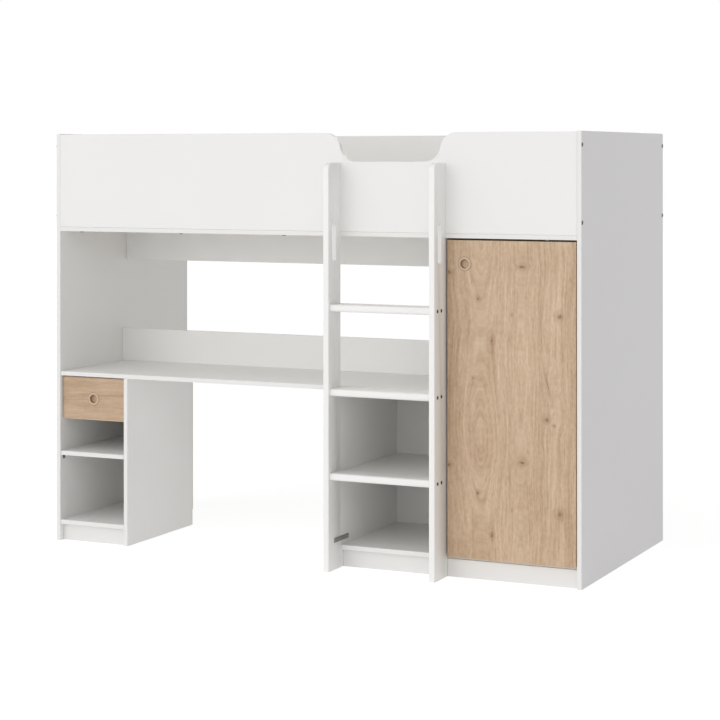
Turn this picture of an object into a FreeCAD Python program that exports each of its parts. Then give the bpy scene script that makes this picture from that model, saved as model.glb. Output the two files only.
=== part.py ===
"""High sleeper bed with a desk, a drawer pedestal, a bookcase, a wardrobe and a ladder.

Lengths are millimetres. The origin is at the middle of the floor under the bed and its ladder.
X runs along the bed to the right, Y from the ladder to the wall side, and Z up.
"""
import FreeCAD, Part
import math
import os
from collections import namedtuple
from types import SimpleNamespace

import Sketcher
from FreeCAD import Rotation, Vector

SIZES = {
    # whole bed
    "bed_length": 2060.0,
    "bed_depth": 948.0,
    "bed_height": 1520.0,
    "board": 16.0,
    "back_board": 3.0,
    "furniture_depth": 485.0,
    "front_setback": 3.0,
    # guards, ledges and bed base
    "guard_drop": 2.5,
    "guard_height": 345.0,
    "cutout_width": 378.0,
    "cutout_depth": 101.0,
    "cutout_run": 120.0,
    "ledge_depth": 60.0,
    "rail_height": 142.5,
    "slat_width": 70.0,
    "slat_thickness": 18.0,
    "slat_play": 2.0,
    "ribbon_width": 25.0,
    "ribbon_thickness": 1.2,
    "ribbon_inset": 190.0,
    # desk
    "desk_height": 633.0,
    "upstand_height": 128.0,
    "upstand_setback": 440.0,
    # pedestal, bookcase and wardrobe carcasses
    "pedestal_width": 274.5,
    "wardrobe_width": 471.0,
    "plinth_height": 62.0,
    "plinth_recess": 22.0,
    "wardrobe_plinth_recess": 19.0,
    "shelf_height": 335.5,
    "shelf_play": 0.5,
    "back_margin": 4.0,
    # drawer
    "drawer_gap": 3.0,
    "drawer_top_gap": 4.0,
    "drawer_front_height": 157.5,
    "drawer_recess": 14.0,
    "drawer_wall": 12.0,
    "drawer_side_height": 100.0,
    "drawer_side_lift": 15.0,
    "drawer_depth": 400.0,
    "drawer_base": 3.0,
    "base_lift": 10.0,
    "base_tongue": 4.5,
    "groove_play": 0.2,
    "runner_height": 17.0,
    "runner_length": 430.0,
    "runner_groove": 6.5,
    "slide_play": 0.3,
    # door
    "door_thickness": 16.0,
    "door_left_gap": 6.5,
    "door_right_gap": 4.0,
    "door_top_gap": 6.0,
    "door_lift": 8.5,
    "door_back_gap": 7.0,
    "bumper_radius": 3.5,
    "bumper_inset": 40.0,
    # recessed grips of the door and the drawer
    "grip_inset": 64.5,
    "grip_drop": 80.5,
    "grip_radius": 15.8,
    "grip_wall": 1.0,
    "grip_depth": 14.0,
    "grip_lip": 1.5,
    "grip_flange": 8.5,
    "grip_chamfer": 0.8,
    # concealed hinges
    "pivot_edge": 11.0,
    "pivot_depth": 9.0,
    "cup_radius": 17.5,
    "cup_wall": 1.0,
    "cup_depth": 12.0,
    "cup_edge": 3.0,
    "ear_width": 22.0,
    "ear_height": 62.0,
    "ear_thickness": 1.2,
    "ear_screw_offset": 24.0,
    "hinge_pin_radius": 1.2,
    "hinge_pin_play": 0.15,
    "lug_width": 5.0,
    "lug_thickness": 2.5,
    "lug_play": 0.3,
    "eye_radius": 3.0,
    "arm_height": 9.0,
    "arm_thickness": 2.6,
    "arm_radius": 15.2,
    "tail_width": 7.0,
    "tail_setback": 15.0,
    "tail_length": 45.0,
    "plate_thickness": 3.0,
    "plate_setback": 16.0,
    "plate_length": 36.0,
    "plate_height": 44.0,
    "plate_screw_offset": 16.0,
    # hanging rail
    "hanger_radius": 12.5,
    "hanger_wall": 1.5,
    "hanger_setback": 240.0,
    "hanger_drop": 60.0,
    "socket_radius": 22.0,
    "socket_base": 4.0,
    "socket_wall": 3.0,
    "socket_reach": 14.0,
    # ladder
    "ladder_width": 416.0,
    "ladder_depth": 96.0,
    "ladder_drop": 107.0,
    "stile_thickness": 20.0,
    "stile_round": 28.0,
    "slot_width": 30.0,
    "slot_length": 137.0,
    "slot_drop": 206.0,
    "slot_inset": 31.0,
    "step_thickness": 25.0,
    "step_depth": 82.0,
    "step_inset": 10.0,
    "step_round": 8.0,
    "first_step": 340.5,
    "step_pitch": 291.5,
    "link_front": 53.0,
    "link_back": 62.0,
    "link_height": 16.0,
    "link_thickness": 2.0,
    "link_rise": 94.5,
    # fasteners and their places
    "overrun": 1.0,
    "drill_play": 0.1,
    "tip_play": 1.0,
    "guard_bolt_head": 7.2,
    "guard_bolt_crown": 2.0,
    "guard_bolt_shank": 3.0,
    "guard_bolt_length": 60.0,
    "guard_bolt_drop": 46.0,
    "guard_bolt_rise": 42.5,
    "nut_radius": 5.0,
    "nut_length": 12.0,
    "nut_sink": 1.0,
    "nut_inset": 34.0,
    "ledge_screw_head": 7.0,
    "ledge_screw_crown": 3.0,
    "ledge_screw_shank": 2.5,
    "ledge_screw_length": 45.0,
    "ladder_bolt_rise": 110.0,
    "ladder_bolt_length": 56.0,
    "step_screw_head": 6.2,
    "step_screw_crown": 1.2,
    "step_screw_shank": 2.5,
    "step_screw_length": 60.0,
    "step_screw_inset": 27.5,
    "step_screw_gap": 33.5,
    "small_screw_head": 3.5,
    "small_screw_crown": 1.5,
    "small_screw_shank": 1.75,
    "small_screw_length": 12.0,
    "runner_screw_length": 18.0,
    "link_screw_near": 15.0,
    "link_screw_far": 42.0,
    "shelf_pin_peg": 2.5,
    "shelf_pin_depth": 9.0,
    "shelf_pin_width": 6.5,
    "shelf_pin_reach": 6.5,
    "shelf_pin_drop": 14.0,
    "shelf_pin_inset": 20.0,
    "dowel_radius": 4.0,
    "dowel_length": 30.0,
    "dowel_in_panel": 11.0,
    "drawer_dowel_radius": 3.0,
    "drawer_dowel_length": 24.0,
    "drawer_dowel_in_panel": 8.0,
}

SLAT_COUNT = 14
STEP_COUNT = 3
LEDGE_SCREW_SHARES = (0.0444, 0.254, 0.461, 0.948)
HINGE_SHARES = (0.09, 0.5, 0.91)
DEPTH_SHARES = (0.12, 0.85)
WARDROBE_DEPTH_SHARES = (0.22, 0.75)
SIDE_TOP_SHARES = (0.15, 0.8)
RAIL_SHARES = (0.25, 0.75)
WARDROBE_RAIL_SHARES = (0.45, 0.9)
UPSTAND_SHARES = (0.1, 0.5, 0.9)
PLINTH_SHARE = 0.3
DRAWER_JOINT_SHARES = (0.28, 0.8)
RUNNER_SCREW_SHARES = (0.15, 0.85)
WARDROBE_PLINTH_SHARE = 0.7

# The hinge arm leaves its pin at one angle and joins its tail at the other, in degrees from +X.
ARM_LEAVES = 160.0
ARM_JOINS = 55.0

TURNS = {
    "+x": Rotation(Vector(0, 1, 0), 90),
    "-x": Rotation(Vector(0, 1, 0), -90),
    "+y": Rotation(Vector(1, 0, 0), -90),
    "-y": Rotation(Vector(1, 0, 0), 90),
    "+z": Rotation(),
    "-z": Rotation(Vector(1, 0, 0), 180),
}


class Size:
    """A length: its number, and the sheet expression that gives it."""

    def __init__(self, number, text):
        self.number = number
        self.text = text

    def __add__(self, other):
        return Size(self.number + other.number, f"({self.text} + {other.text})")

    def __sub__(self, other):
        return Size(self.number - other.number, f"({self.text} - {other.text})")

    def __neg__(self):
        return Size(-self.number, f"(-1 * {self.text})")

    def __mul__(self, factor):
        return Size(self.number * factor, f"({self.text} * {factor})")

    def __truediv__(self, factor):
        return Size(self.number / factor, f"({self.text} / {factor})")


Screw = namedtuple("Screw", "head crown shank length")
Dowel = namedtuple("Dowel", "radius length in_panel")


def size_sheet(doc):
    """Write the driving sizes to a sheet and give them back by name."""
    sheet = doc.addObject("Spreadsheet::Sheet", "Sizes")
    for row, (name, number) in enumerate(SIZES.items(), start=1):
        sheet.set(f"A{row}", name)
        sheet.set(f"B{row}", str(number))
        sheet.setAlias(f"B{row}", name)
    doc.recompute()
    return SimpleNamespace(**{name: Size(sheet.get(name), f"Sizes.{name}") for name in SIZES})


DOC = FreeCAD.newDocument("high_sleeper_bed")
S = size_sheet(DOC)

# Planes that several pieces share.
FLOOR = Size(0.0, "0")
LEFT = -S.bed_length / 2
RIGHT = S.bed_length / 2
FRONT = (S.ladder_depth - S.bed_depth) / 2
BACK = FRONT + S.bed_depth
INNER_LEFT = LEFT + S.board
INNER_RIGHT = RIGHT - S.board
INNER_LENGTH = INNER_RIGHT - INNER_LEFT
GUARD_TOP = S.bed_height - S.guard_drop
LEDGE_TOP = GUARD_TOP - S.guard_height
LEDGE_UNDER = LEDGE_TOP - S.board
DESK_UNDER = S.desk_height - S.board
SHELF_UNDER = S.shelf_height - S.board
CARCASS_FRONT = FRONT + S.front_setback
CARCASS_BACK = FRONT + S.furniture_depth
CARCASS_DEPTH = CARCASS_BACK - CARCASS_FRONT
RAIL_FRONT = CARCASS_BACK - S.board
RAIL_BOTTOM = LEDGE_TOP - S.rail_height
PEDESTAL_RIGHT = INNER_LEFT + S.pedestal_width
WARDROBE_LEFT = INNER_RIGHT - S.wardrobe_width
WARDROBE_OUTSIDE = WARDROBE_LEFT - S.board
WARDROBE_FRONT = FRONT + S.door_thickness + S.door_back_gap
WARDROBE_DEPTH = CARCASS_BACK - WARDROBE_FRONT
WARDROBE_PLINTH_FRONT = FRONT + S.wardrobe_plinth_recess
LADDER_LEFT = WARDROBE_LEFT - S.ladder_width
LADDER_FRONT = FRONT - S.ladder_depth
LADDER_TOP = S.bed_height - S.ladder_drop
STEP_LEFT = LADDER_LEFT + S.stile_thickness
STEP_RIGHT = WARDROBE_LEFT - S.stile_thickness
BOOKCASE_OUTSIDE = STEP_LEFT - S.board
BOOKCASE_WIDTH = WARDROBE_OUTSIDE - STEP_LEFT
DRAWER_LEFT = INNER_LEFT + S.drawer_gap
DRAWER_RIGHT = PEDESTAL_RIGHT - S.drawer_gap
DRAWER_FRONT = FRONT + S.drawer_recess
DRAWER_BOX_FRONT = DRAWER_FRONT + S.board
DRAWER_BOX_BACK = DRAWER_BOX_FRONT + S.drawer_depth
DRAWER_FRONT_TOP = DESK_UNDER - S.drawer_top_gap
DRAWER_FRONT_BOTTOM = DRAWER_FRONT_TOP - S.drawer_front_height
DRAWER_SIDE_BOTTOM = DRAWER_FRONT_BOTTOM + S.drawer_side_lift
DRAWER_BASE_BOTTOM = DRAWER_SIDE_BOTTOM + S.base_lift
DRAWER_BASE_TOP = DRAWER_BASE_BOTTOM + S.drawer_base
RUNNER_BOTTOM = DRAWER_SIDE_BOTTOM + (S.drawer_side_height - S.runner_height) / 2
DOOR_LEFT = WARDROBE_LEFT + S.door_left_gap
DOOR_RIGHT = INNER_RIGHT - S.door_right_gap
DOOR_BOTTOM = S.plinth_height + S.door_lift
DOOR_TOP = LEDGE_UNDER - S.door_top_gap
DOOR_BACK = FRONT + S.door_thickness
PIVOT_X = DOOR_RIGHT - S.pivot_edge
PIVOT_Y = FRONT + S.pivot_depth
CUP_X = DOOR_RIGHT - S.cup_edge - S.cup_radius
HINGE_HEIGHTS = [DOOR_BOTTOM + (DOOR_TOP - DOOR_BOTTOM) * share for share in HINGE_SHARES]

GUARD_BOLT = Screw(S.guard_bolt_head, S.guard_bolt_crown, S.guard_bolt_shank, S.guard_bolt_length)
LEDGE_SCREW = Screw(S.ledge_screw_head, S.ledge_screw_crown, S.ledge_screw_shank, S.ledge_screw_length)
LADDER_BOLT = Screw(S.ledge_screw_head, S.ledge_screw_crown, S.guard_bolt_shank, S.ladder_bolt_length)
STEP_SCREW = Screw(S.step_screw_head, S.step_screw_crown, S.step_screw_shank, S.step_screw_length)
SMALL_SCREW = Screw(S.small_screw_head, S.small_screw_crown, S.small_screw_shank, S.small_screw_length)
RUNNER_SCREW = SMALL_SCREW._replace(length=S.runner_screw_length)

BOARD_DOWEL = Dowel(S.dowel_radius, S.dowel_length, S.dowel_in_panel)
DRAWER_DOWEL = Dowel(S.drawer_dowel_radius, S.drawer_dowel_length, S.drawer_dowel_in_panel)

BLANKS = {}
TOOLS = {}
NODES = []
SMALL_SCREWS = []


def bind(item, **sizes):
    """Bind properties of a document object to sheet expressions."""
    for name, length in sizes.items():
        item.setExpression(name, length.text)


def place(item, point, turn=None):
    """Put an object at a point, turned first."""
    if turn is not None:
        item.Placement.Rotation = turn
    for letter, length in zip("xyz", point):
        item.setExpression(f"Placement.Base.{letter}", length.text)


def ahead(point, axis, distance):
    """Move a point along a signed axis such as +x."""
    sign, letter = axis
    step = distance if sign == "+" else -distance
    return tuple(length + step if name == letter else length for name, length in zip("xyz", point))


def opposite(axis):
    """Give the same axis with the other sign."""
    return ("-" if axis[0] == "+" else "+") + axis[1]


def block(label, corner, extent):
    """A box from its lowest corner."""
    item = DOC.addObject("Part::Box", label)
    item.Label = label
    bind(item, Length=extent[0], Width=extent[1], Height=extent[2])
    place(item, corner)
    return item


def span(label, low, high):
    """A box between two corners."""
    return block(label, low, tuple(end - start for start, end in zip(low, high)))


def rod(label, point, axis, radius, length):
    """A round bar that starts at a point and runs along a signed axis."""
    item = DOC.addObject("Part::Cylinder", label)
    item.Label = label
    bind(item, Radius=radius, Height=length)
    place(item, point, TURNS[axis])
    return item


def group(label, members):
    """Several solids in one object."""
    item = DOC.addObject("Part::Compound", label)
    item.Label = label
    item.Links = members
    return item


def fuse(label, members):
    """One solid from several that overlap."""
    item = DOC.addObject("Part::MultiFuse", label)
    item.Label = label
    item.Shapes = members
    return item


def cut(label, base, tools):
    """A solid less its tools."""
    item = DOC.addObject("Part::Cut", label)
    item.Label = label
    item.Base = base
    item.Tool = tools[0] if len(tools) == 1 else group(f"{label}_tools", tools)
    return item


def node(item):
    """Keep a finished sub-part."""
    NODES.append(item)
    return item


def board(label, low, high):
    """A flat board, drilled later by the fasteners that pass through it."""
    BLANKS[label] = span(f"{label}_blank", low, high)


def machine(tool, *labels):
    """Cut a tool from the named boards."""
    for label in labels:
        TOOLS.setdefault(label, []).append(tool)


def finish_boards():
    """Cut every board's tools from it, and keep the boards."""
    for label, blank in BLANKS.items():
        if label in TOOLS:
            node(cut(label, blank, TOOLS[label]))
        else:
            blank.Label = label
            node(blank)


def screw(label, point, axis, kind, *boards):
    """A screw whose head seats at a point, with its hole in each board that it passes."""
    head = rod(f"{label}_head", point, opposite(axis), kind.head, kind.crown)
    shank = rod(f"{label}_shank", point, axis, kind.shank, kind.length)
    start = ahead(point, opposite(axis), S.overrun)
    depth = kind.length + S.tip_play + S.overrun
    machine(rod(f"{label}_drill", start, axis, kind.shank + S.drill_play, depth), *boards)
    return fuse(label, [head, shank])


def dowel(label, point, axis, panel, other, kind=BOARD_DOWEL):
    """A dowel across the joint of two boards, deeper in the one that the axis points into."""
    start = ahead(point, opposite(axis), kind.in_panel)
    hole_start = ahead(start, opposite(axis), S.tip_play)
    hole_length = kind.length + S.tip_play * 2
    machine(rod(f"{label}_drill", hole_start, axis, kind.radius + S.drill_play, hole_length), panel, other)
    return rod(label, start, axis, kind.radius, kind.length)


def sunk_screw(label, point, axis, kind, holder, *boards):
    """A screw whose head lies just under the face of its holder."""
    seat = ahead(point, axis, kind.crown + S.drill_play)
    depth = kind.crown + S.drill_play + S.overrun
    machine(rod(f"{label}_sink", seat, opposite(axis), kind.head + S.drill_play, depth), holder)
    return screw(label, seat, axis, kind, holder, *boards)


def body(label, corner, plane):
    """An empty body at a corner, with a sketch on one of its own planes."""
    item = DOC.addObject("PartDesign::Body", label)
    item.Label = label
    place(item, corner)
    sketch = item.newObject("Sketcher::SketchObject", f"{label}_sketch")
    support = next(part for part in item.Origin.OriginFeatures if part.Role == plane)
    sketch.AttachmentSupport = [(support, "")]
    sketch.MapMode = "FlatFace"
    return item, sketch


def pin_point(sketch, edge, end, point):
    """Hold a sketch point at its two sizes, or on an axis where a size is zero."""
    for kind, axis_line, length in zip(("DistanceX", "DistanceY"), (-2, -1), point):
        if length is FLOOR:
            sketch.addConstraint(Sketcher.Constraint("PointOnObject", edge, end, axis_line))
        else:
            index = sketch.addConstraint(Sketcher.Constraint(kind, -1, 1, edge, end, length.number))
            sketch.setExpression(f"Constraints[{index}]", length.text)


def arc_between(start, end, centre_x):
    """The short arc between two points about a centre of known X, and whether it runs backwards."""
    (sx, sy), (ex, ey) = [(point[0].number, point[1].number) for point in (start, end)]
    cx = centre_x.number
    cy = ((sx - cx) ** 2 - (ex - cx) ** 2 + sy ** 2 - ey ** 2) / (2 * (sy - ey))
    first = math.atan2(sy - cy, sx - cx)
    last = math.atan2(ey - cy, ex - cx)
    backwards = (last - first) % math.tau > math.pi
    if backwards:
        first, last = last, first
    circle = Part.Circle(Vector(cx, cy, 0), Vector(0, 0, 1), math.hypot(sx - cx, sy - cy))
    return Part.ArcOfCircle(circle, first, last), backwards


def loop(sketch, points, arcs=None):
    """Draw a closed outline. arcs maps a point's index to the X of the arc's centre after it."""
    ends = []
    for index, start in enumerate(points):
        end = points[(index + 1) % len(points)]
        backwards = False
        if arcs and index in arcs:
            shape, backwards = arc_between(start, end, arcs[index])
        else:
            corners = [Vector(point[0].number, point[1].number, 0) for point in (start, end)]
            shape = Part.LineSegment(*corners)
        edge = sketch.addGeometry(shape, False)
        ends.append((edge, 2, 1) if backwards else (edge, 1, 2))
        if arcs and index in arcs:
            centre = sketch.addConstraint(
                Sketcher.Constraint("DistanceX", -1, 1, edge, 3, arcs[index].number))
            sketch.setExpression(f"Constraints[{centre}]", arcs[index].text)
    for index, (edge, start, end) in enumerate(ends):
        following, next_start, next_end = ends[(index + 1) % len(ends)]
        sketch.addConstraint(Sketcher.Constraint("Coincident", edge, end, following, next_start))
        pin_point(sketch, edge, start, points[index])


def pad(item, sketch, length, reverse=False):
    """Give a body's sketch its thickness."""
    feature = item.newObject("PartDesign::Pad", f"{item.Label}_pad")
    feature.Profile = sketch
    feature.Reversed = reverse
    bind(feature, Length=length)


def end_panels():
    """The two full panels that carry the bed."""
    board("left_end_panel", (LEFT, FRONT, FLOOR), (INNER_LEFT, BACK, S.bed_height))
    board("right_end_panel", (INNER_RIGHT, FRONT, FLOOR), (RIGHT, BACK, S.bed_height))


def guards():
    """The front guard with its S-curved way in, and the plain rear guard, a little below the panels' tops."""
    item, sketch = body("front_guard_blank", (INNER_LEFT, FRONT, LEDGE_TOP), "XZ_Plane")
    middle = (LADDER_LEFT + WARDROBE_LEFT) / 2 - INNER_LEFT
    reach = S.cutout_width / 2
    half_run = S.cutout_run / 2
    top = S.guard_height
    dip = top - S.cutout_depth / 2
    low = top - S.cutout_depth
    right_top = middle + reach + half_run
    right_low = middle + reach - half_run
    left_low = middle - reach + half_run
    left_top = middle - reach - half_run
    points = [
        (FLOOR, FLOOR),
        (INNER_LENGTH, FLOOR),
        (INNER_LENGTH, top),
        (right_top, top),
        (middle + reach, dip),
        (right_low, low),
        (left_low, low),
        (middle - reach, dip),
        (left_top, top),
        (FLOOR, top),
    ]
    loop(sketch, points, {3: right_top, 4: right_low, 6: left_low, 7: left_top})
    pad(item, sketch, S.board, reverse=True)
    BLANKS["front_guard"] = item
    board("rear_guard", (INNER_LEFT, BACK - S.board, LEDGE_TOP), (INNER_RIGHT, BACK, GUARD_TOP))


def bed_base():
    """Ledges, rails, slats and the ribbons that space the slats."""
    board("front_ledge", (INNER_LEFT, FRONT, LEDGE_UNDER), (INNER_RIGHT, FRONT + S.ledge_depth, LEDGE_TOP))
    board("rear_ledge", (INNER_LEFT, BACK - S.ledge_depth, LEDGE_UNDER), (INNER_RIGHT, BACK, LEDGE_TOP))
    board("middle_rail", (INNER_LEFT, RAIL_FRONT, RAIL_BOTTOM), (WARDROBE_OUTSIDE, CARCASS_BACK, LEDGE_TOP))
    board("wardrobe_rail", (WARDROBE_LEFT, RAIL_FRONT, RAIL_BOTTOM), (INNER_RIGHT, CARCASS_BACK, LEDGE_TOP))
    pitch = INNER_LENGTH / SLAT_COUNT
    first = INNER_LEFT + (pitch - S.slat_width) / 2
    front = FRONT + S.board + S.slat_play
    length = S.bed_depth - (S.board + S.slat_play) * 2
    extent = (S.slat_width, length, S.slat_thickness)
    slats = [block(f"slat_{index + 1}", (first + pitch * index, front, LEDGE_TOP), extent)
             for index in range(SLAT_COUNT)]
    node(group("bed_slats", slats))
    ribbon_start = LEDGE_TOP - S.ribbon_thickness
    ribbon_length = pitch * (SLAT_COUNT - 1) + S.slat_width
    places = (FRONT + S.ribbon_inset, BACK - S.ribbon_inset - S.ribbon_width)
    extent = (ribbon_length, S.ribbon_width, S.ribbon_thickness)
    ribbons = [block(f"ribbon_{index + 1}", (first, place_y, ribbon_start), extent)
               for index, place_y in enumerate(places)]
    node(group("slat_ribbons", ribbons))


def desk():
    """The desk top and the upstand along its back."""
    board("desk_top", (INNER_LEFT, CARCASS_FRONT, DESK_UNDER),
          (WARDROBE_OUTSIDE, CARCASS_BACK, S.desk_height))
    upstand_front = FRONT + S.upstand_setback
    board("desk_upstand", (INNER_LEFT, upstand_front, S.desk_height),
          (WARDROBE_OUTSIDE, upstand_front + S.board, S.desk_height + S.upstand_height))


def floor_boards(name, left, right):
    """The bottom board, plinth and loose shelf between two sides."""
    board_top = S.plinth_height + S.board
    board(f"{name}_bottom", (left, CARCASS_FRONT, S.plinth_height), (right, CARCASS_BACK, board_top))
    plinth_front = FRONT + S.plinth_recess
    board(f"{name}_plinth", (left, plinth_front, FLOOR), (right, plinth_front + S.board, S.plinth_height))
    board(f"{name}_shelf", (left + S.shelf_play, CARCASS_FRONT, SHELF_UNDER),
          (right - S.shelf_play, CARCASS_BACK - S.shelf_play, S.shelf_height))


def back(name, left, right, top):
    """A thin back, a little lower than the top that it covers."""
    board(f"{name}_back", (left, CARCASS_BACK, S.plinth_height),
          (right, CARCASS_BACK + S.back_board, top - S.back_margin))


def pedestal():
    """The drawer pedestal at the left end of the desk."""
    right_face = PEDESTAL_RIGHT + S.board
    board("pedestal_side", (PEDESTAL_RIGHT, CARCASS_FRONT, FLOOR), (right_face, CARCASS_BACK, DESK_UNDER))
    floor_boards("pedestal", INNER_LEFT, PEDESTAL_RIGHT)
    back("pedestal", INNER_LEFT, right_face, S.desk_height)


def bookcase():
    """The open bookcase behind the ladder."""
    board("bookcase_side", (BOOKCASE_OUTSIDE, FRONT, FLOOR), (STEP_LEFT, CARCASS_BACK, DESK_UNDER))
    floor_boards("bookcase", STEP_LEFT, WARDROBE_OUTSIDE)
    back("bookcase", BOOKCASE_OUTSIDE, WARDROBE_LEFT - S.board / 2, S.desk_height)


def wardrobe():
    """The wardrobe's carcass, whose right side is the bed's end panel."""
    board("wardrobe_side", (WARDROBE_OUTSIDE, FRONT, FLOOR), (WARDROBE_LEFT, CARCASS_BACK, LEDGE_UNDER))
    board("wardrobe_bottom", (WARDROBE_LEFT, WARDROBE_FRONT, S.plinth_height),
          (INNER_RIGHT, CARCASS_BACK, S.plinth_height + S.board))
    board("wardrobe_plinth", (WARDROBE_LEFT, WARDROBE_PLINTH_FRONT, FLOOR),
          (INNER_RIGHT, WARDROBE_PLINTH_FRONT + S.board, S.plinth_height))
    board("wardrobe_top", (WARDROBE_LEFT, FRONT + S.ledge_depth, LEDGE_UNDER - S.board),
          (INNER_RIGHT, RAIL_FRONT, LEDGE_UNDER))
    back("wardrobe", WARDROBE_LEFT - S.board / 2, INNER_RIGHT, LEDGE_UNDER)


def hanging_rail():
    """A tube between two sockets, near the top of the wardrobe."""
    axis_y = FRONT + S.hanger_setback
    axis_z = LEDGE_UNDER - S.board - S.hanger_drop
    start = (WARDROBE_LEFT + S.socket_base, axis_y, axis_z)
    length = S.wardrobe_width - S.socket_base * 2
    tube = rod("hanging_tube", start, "+x", S.hanger_radius, length)
    bore_start = ahead(start, "-x", S.overrun)
    bore = rod("hanging_bore", bore_start, "+x", S.hanger_radius - S.hanger_wall, length + S.overrun * 2)
    node(cut("hanging_rail", tube, [bore]))
    sockets = []
    for name, wall, axis in (("left", WARDROBE_LEFT, "+x"), ("right", INNER_RIGHT, "-x")):
        point = (wall, axis_y, axis_z)
        seat = ahead(point, axis, S.socket_base)
        base = rod(f"socket_base_{name}", point, axis, S.socket_radius, S.socket_base)
        hole_radius = S.hanger_radius + S.drill_play
        ring_length = S.socket_base + S.socket_reach
        ring = rod(f"socket_ring_{name}", point, axis, hole_radius + S.socket_wall, ring_length)
        hole = rod(f"socket_hole_{name}", seat, axis, hole_radius, S.socket_reach + S.overrun)
        sockets.append(cut(f"socket_{name}", fuse(f"socket_blank_{name}", [base, ring]), [hole]))
    node(group("rail_sockets", sockets))


def grip(label, point, holder):
    """A round cup with a flange, set through a front from its face."""
    item, sketch = body(label, point, "XY_Plane")
    outside = S.grip_radius + S.grip_wall
    edge = S.grip_radius + S.grip_flange
    lip = -S.grip_lip
    points = [
        (FLOOR, S.grip_depth),
        (S.grip_radius, S.grip_depth),
        (S.grip_radius, lip),
        (edge - S.grip_chamfer, lip),
        (edge, lip + S.grip_chamfer),
        (edge, FLOOR),
        (outside, FLOOR),
        (outside, S.grip_depth + S.grip_wall),
        (FLOOR, S.grip_depth + S.grip_wall),
    ]
    loop(sketch, points)
    turned = item.newObject("PartDesign::Revolution", f"{label}_turned")
    turned.Profile = sketch
    turned.ReferenceAxis = (sketch, ["V_Axis"])
    turned.Angle = 360
    node(item)
    start = ahead(point, "-y", S.overrun)
    depth = S.board + S.door_thickness
    machine(rod(f"{label}_hole", start, "+y", outside + S.drill_play, depth), holder)


def drawer_dowels(inner_left, inner_right):
    """Dowels from the drawer's sides into its front and its back."""
    half = S.drawer_wall / 2
    heights = [DRAWER_SIDE_BOTTOM + S.drawer_side_height * share for share in DRAWER_JOINT_SHARES]
    back_y = DRAWER_BOX_BACK - half
    dowels = []
    for side, left, face, axis in (("left", DRAWER_LEFT, inner_left, "+x"),
                                   ("right", inner_right, inner_right, "-x")):
        panel = f"drawer_side_{side}"
        for index, height in enumerate(heights, start=1):
            dowels.append(dowel(f"drawer_dowel_front_{side}_{index}", (left + half, DRAWER_BOX_FRONT, height),
                                "+y", "drawer_front", panel, DRAWER_DOWEL))
            dowels.append(dowel(f"drawer_dowel_back_{side}_{index}", (face, back_y, height),
                                axis, panel, "drawer_back", DRAWER_DOWEL))
    node(group("drawer_dowels", dowels))


def drawer():
    """The drawer's front and box, and the runner strips that it slides on."""
    front_low = (DRAWER_LEFT, DRAWER_FRONT, DRAWER_FRONT_BOTTOM)
    board("drawer_front", front_low, (DRAWER_RIGHT, DRAWER_BOX_FRONT, DRAWER_FRONT_TOP))
    side_top = DRAWER_SIDE_BOTTOM + S.drawer_side_height
    inner_left = DRAWER_LEFT + S.drawer_wall
    inner_right = DRAWER_RIGHT - S.drawer_wall
    board("drawer_side_left", (DRAWER_LEFT, DRAWER_BOX_FRONT, DRAWER_SIDE_BOTTOM),
          (inner_left, DRAWER_BOX_BACK, side_top))
    board("drawer_side_right", (inner_right, DRAWER_BOX_FRONT, DRAWER_SIDE_BOTTOM),
          (DRAWER_RIGHT, DRAWER_BOX_BACK, side_top))
    board("drawer_back", (inner_left, DRAWER_BOX_BACK - S.drawer_wall, DRAWER_BASE_TOP),
          (inner_right, DRAWER_BOX_BACK, side_top))
    board("drawer_bottom",
          (inner_left - S.base_tongue, DRAWER_BOX_FRONT - S.base_tongue, DRAWER_BASE_BOTTOM),
          (inner_right + S.base_tongue, DRAWER_BOX_BACK, DRAWER_BASE_TOP))
    base_reach = S.base_tongue + S.groove_play
    slot_bottom = DRAWER_BASE_BOTTOM - S.groove_play
    slot_top = DRAWER_BASE_TOP + S.groove_play
    base_groove = span("drawer_base_groove",
                       (inner_left - base_reach, DRAWER_BOX_FRONT - base_reach, slot_bottom),
                       (inner_right + base_reach, DRAWER_BOX_BACK + S.overrun, slot_top))
    machine(base_groove, "drawer_front", "drawer_side_left", "drawer_side_right")
    groove_bottom = RUNNER_BOTTOM - S.slide_play
    groove_top = RUNNER_BOTTOM + S.runner_height + S.slide_play
    groove_back = DRAWER_BOX_BACK + S.overrun
    machine(span("runner_groove_left", (DRAWER_LEFT - S.overrun, DRAWER_BOX_FRONT, groove_bottom),
                 (DRAWER_LEFT + S.runner_groove, groove_back, groove_top)), "drawer_side_left")
    machine(span("runner_groove_right", (DRAWER_RIGHT - S.runner_groove, DRAWER_BOX_FRONT, groove_bottom),
                 (DRAWER_RIGHT + S.overrun, groove_back, groove_top)), "drawer_side_right")
    runner_front = DRAWER_BOX_FRONT + S.slide_play
    runner_width = S.drawer_gap + S.runner_groove - S.slide_play
    extent = (runner_width, S.runner_length, S.runner_height)
    right_runner = PEDESTAL_RIGHT - runner_width
    runners = []
    for label, left, face, axis, holder in (
            ("runner_left", INNER_LEFT, INNER_LEFT + runner_width, "-x", "left_end_panel"),
            ("runner_right", right_runner, right_runner, "+x", "pedestal_side")):
        blank = block(f"{label}_blank", (left, runner_front, RUNNER_BOTTOM), extent)
        for index, share in enumerate(RUNNER_SCREW_SHARES, start=1):
            point = (face, runner_front + S.runner_length * share, RUNNER_BOTTOM + S.runner_height / 2)
            name = f"{label}_screw_{index}"
            SMALL_SCREWS.append(sunk_screw(name, point, axis, RUNNER_SCREW, label, holder))
        runners.append(cut(label, blank, TOOLS.pop(label)))
    node(group("drawer_runners", runners))
    drawer_dowels(inner_left, inner_right)
    middle = ((DRAWER_LEFT + DRAWER_RIGHT) / 2, DRAWER_FRONT, (DRAWER_FRONT_BOTTOM + DRAWER_FRONT_TOP) / 2)
    grip("drawer_grip", middle, "drawer_front")


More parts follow.
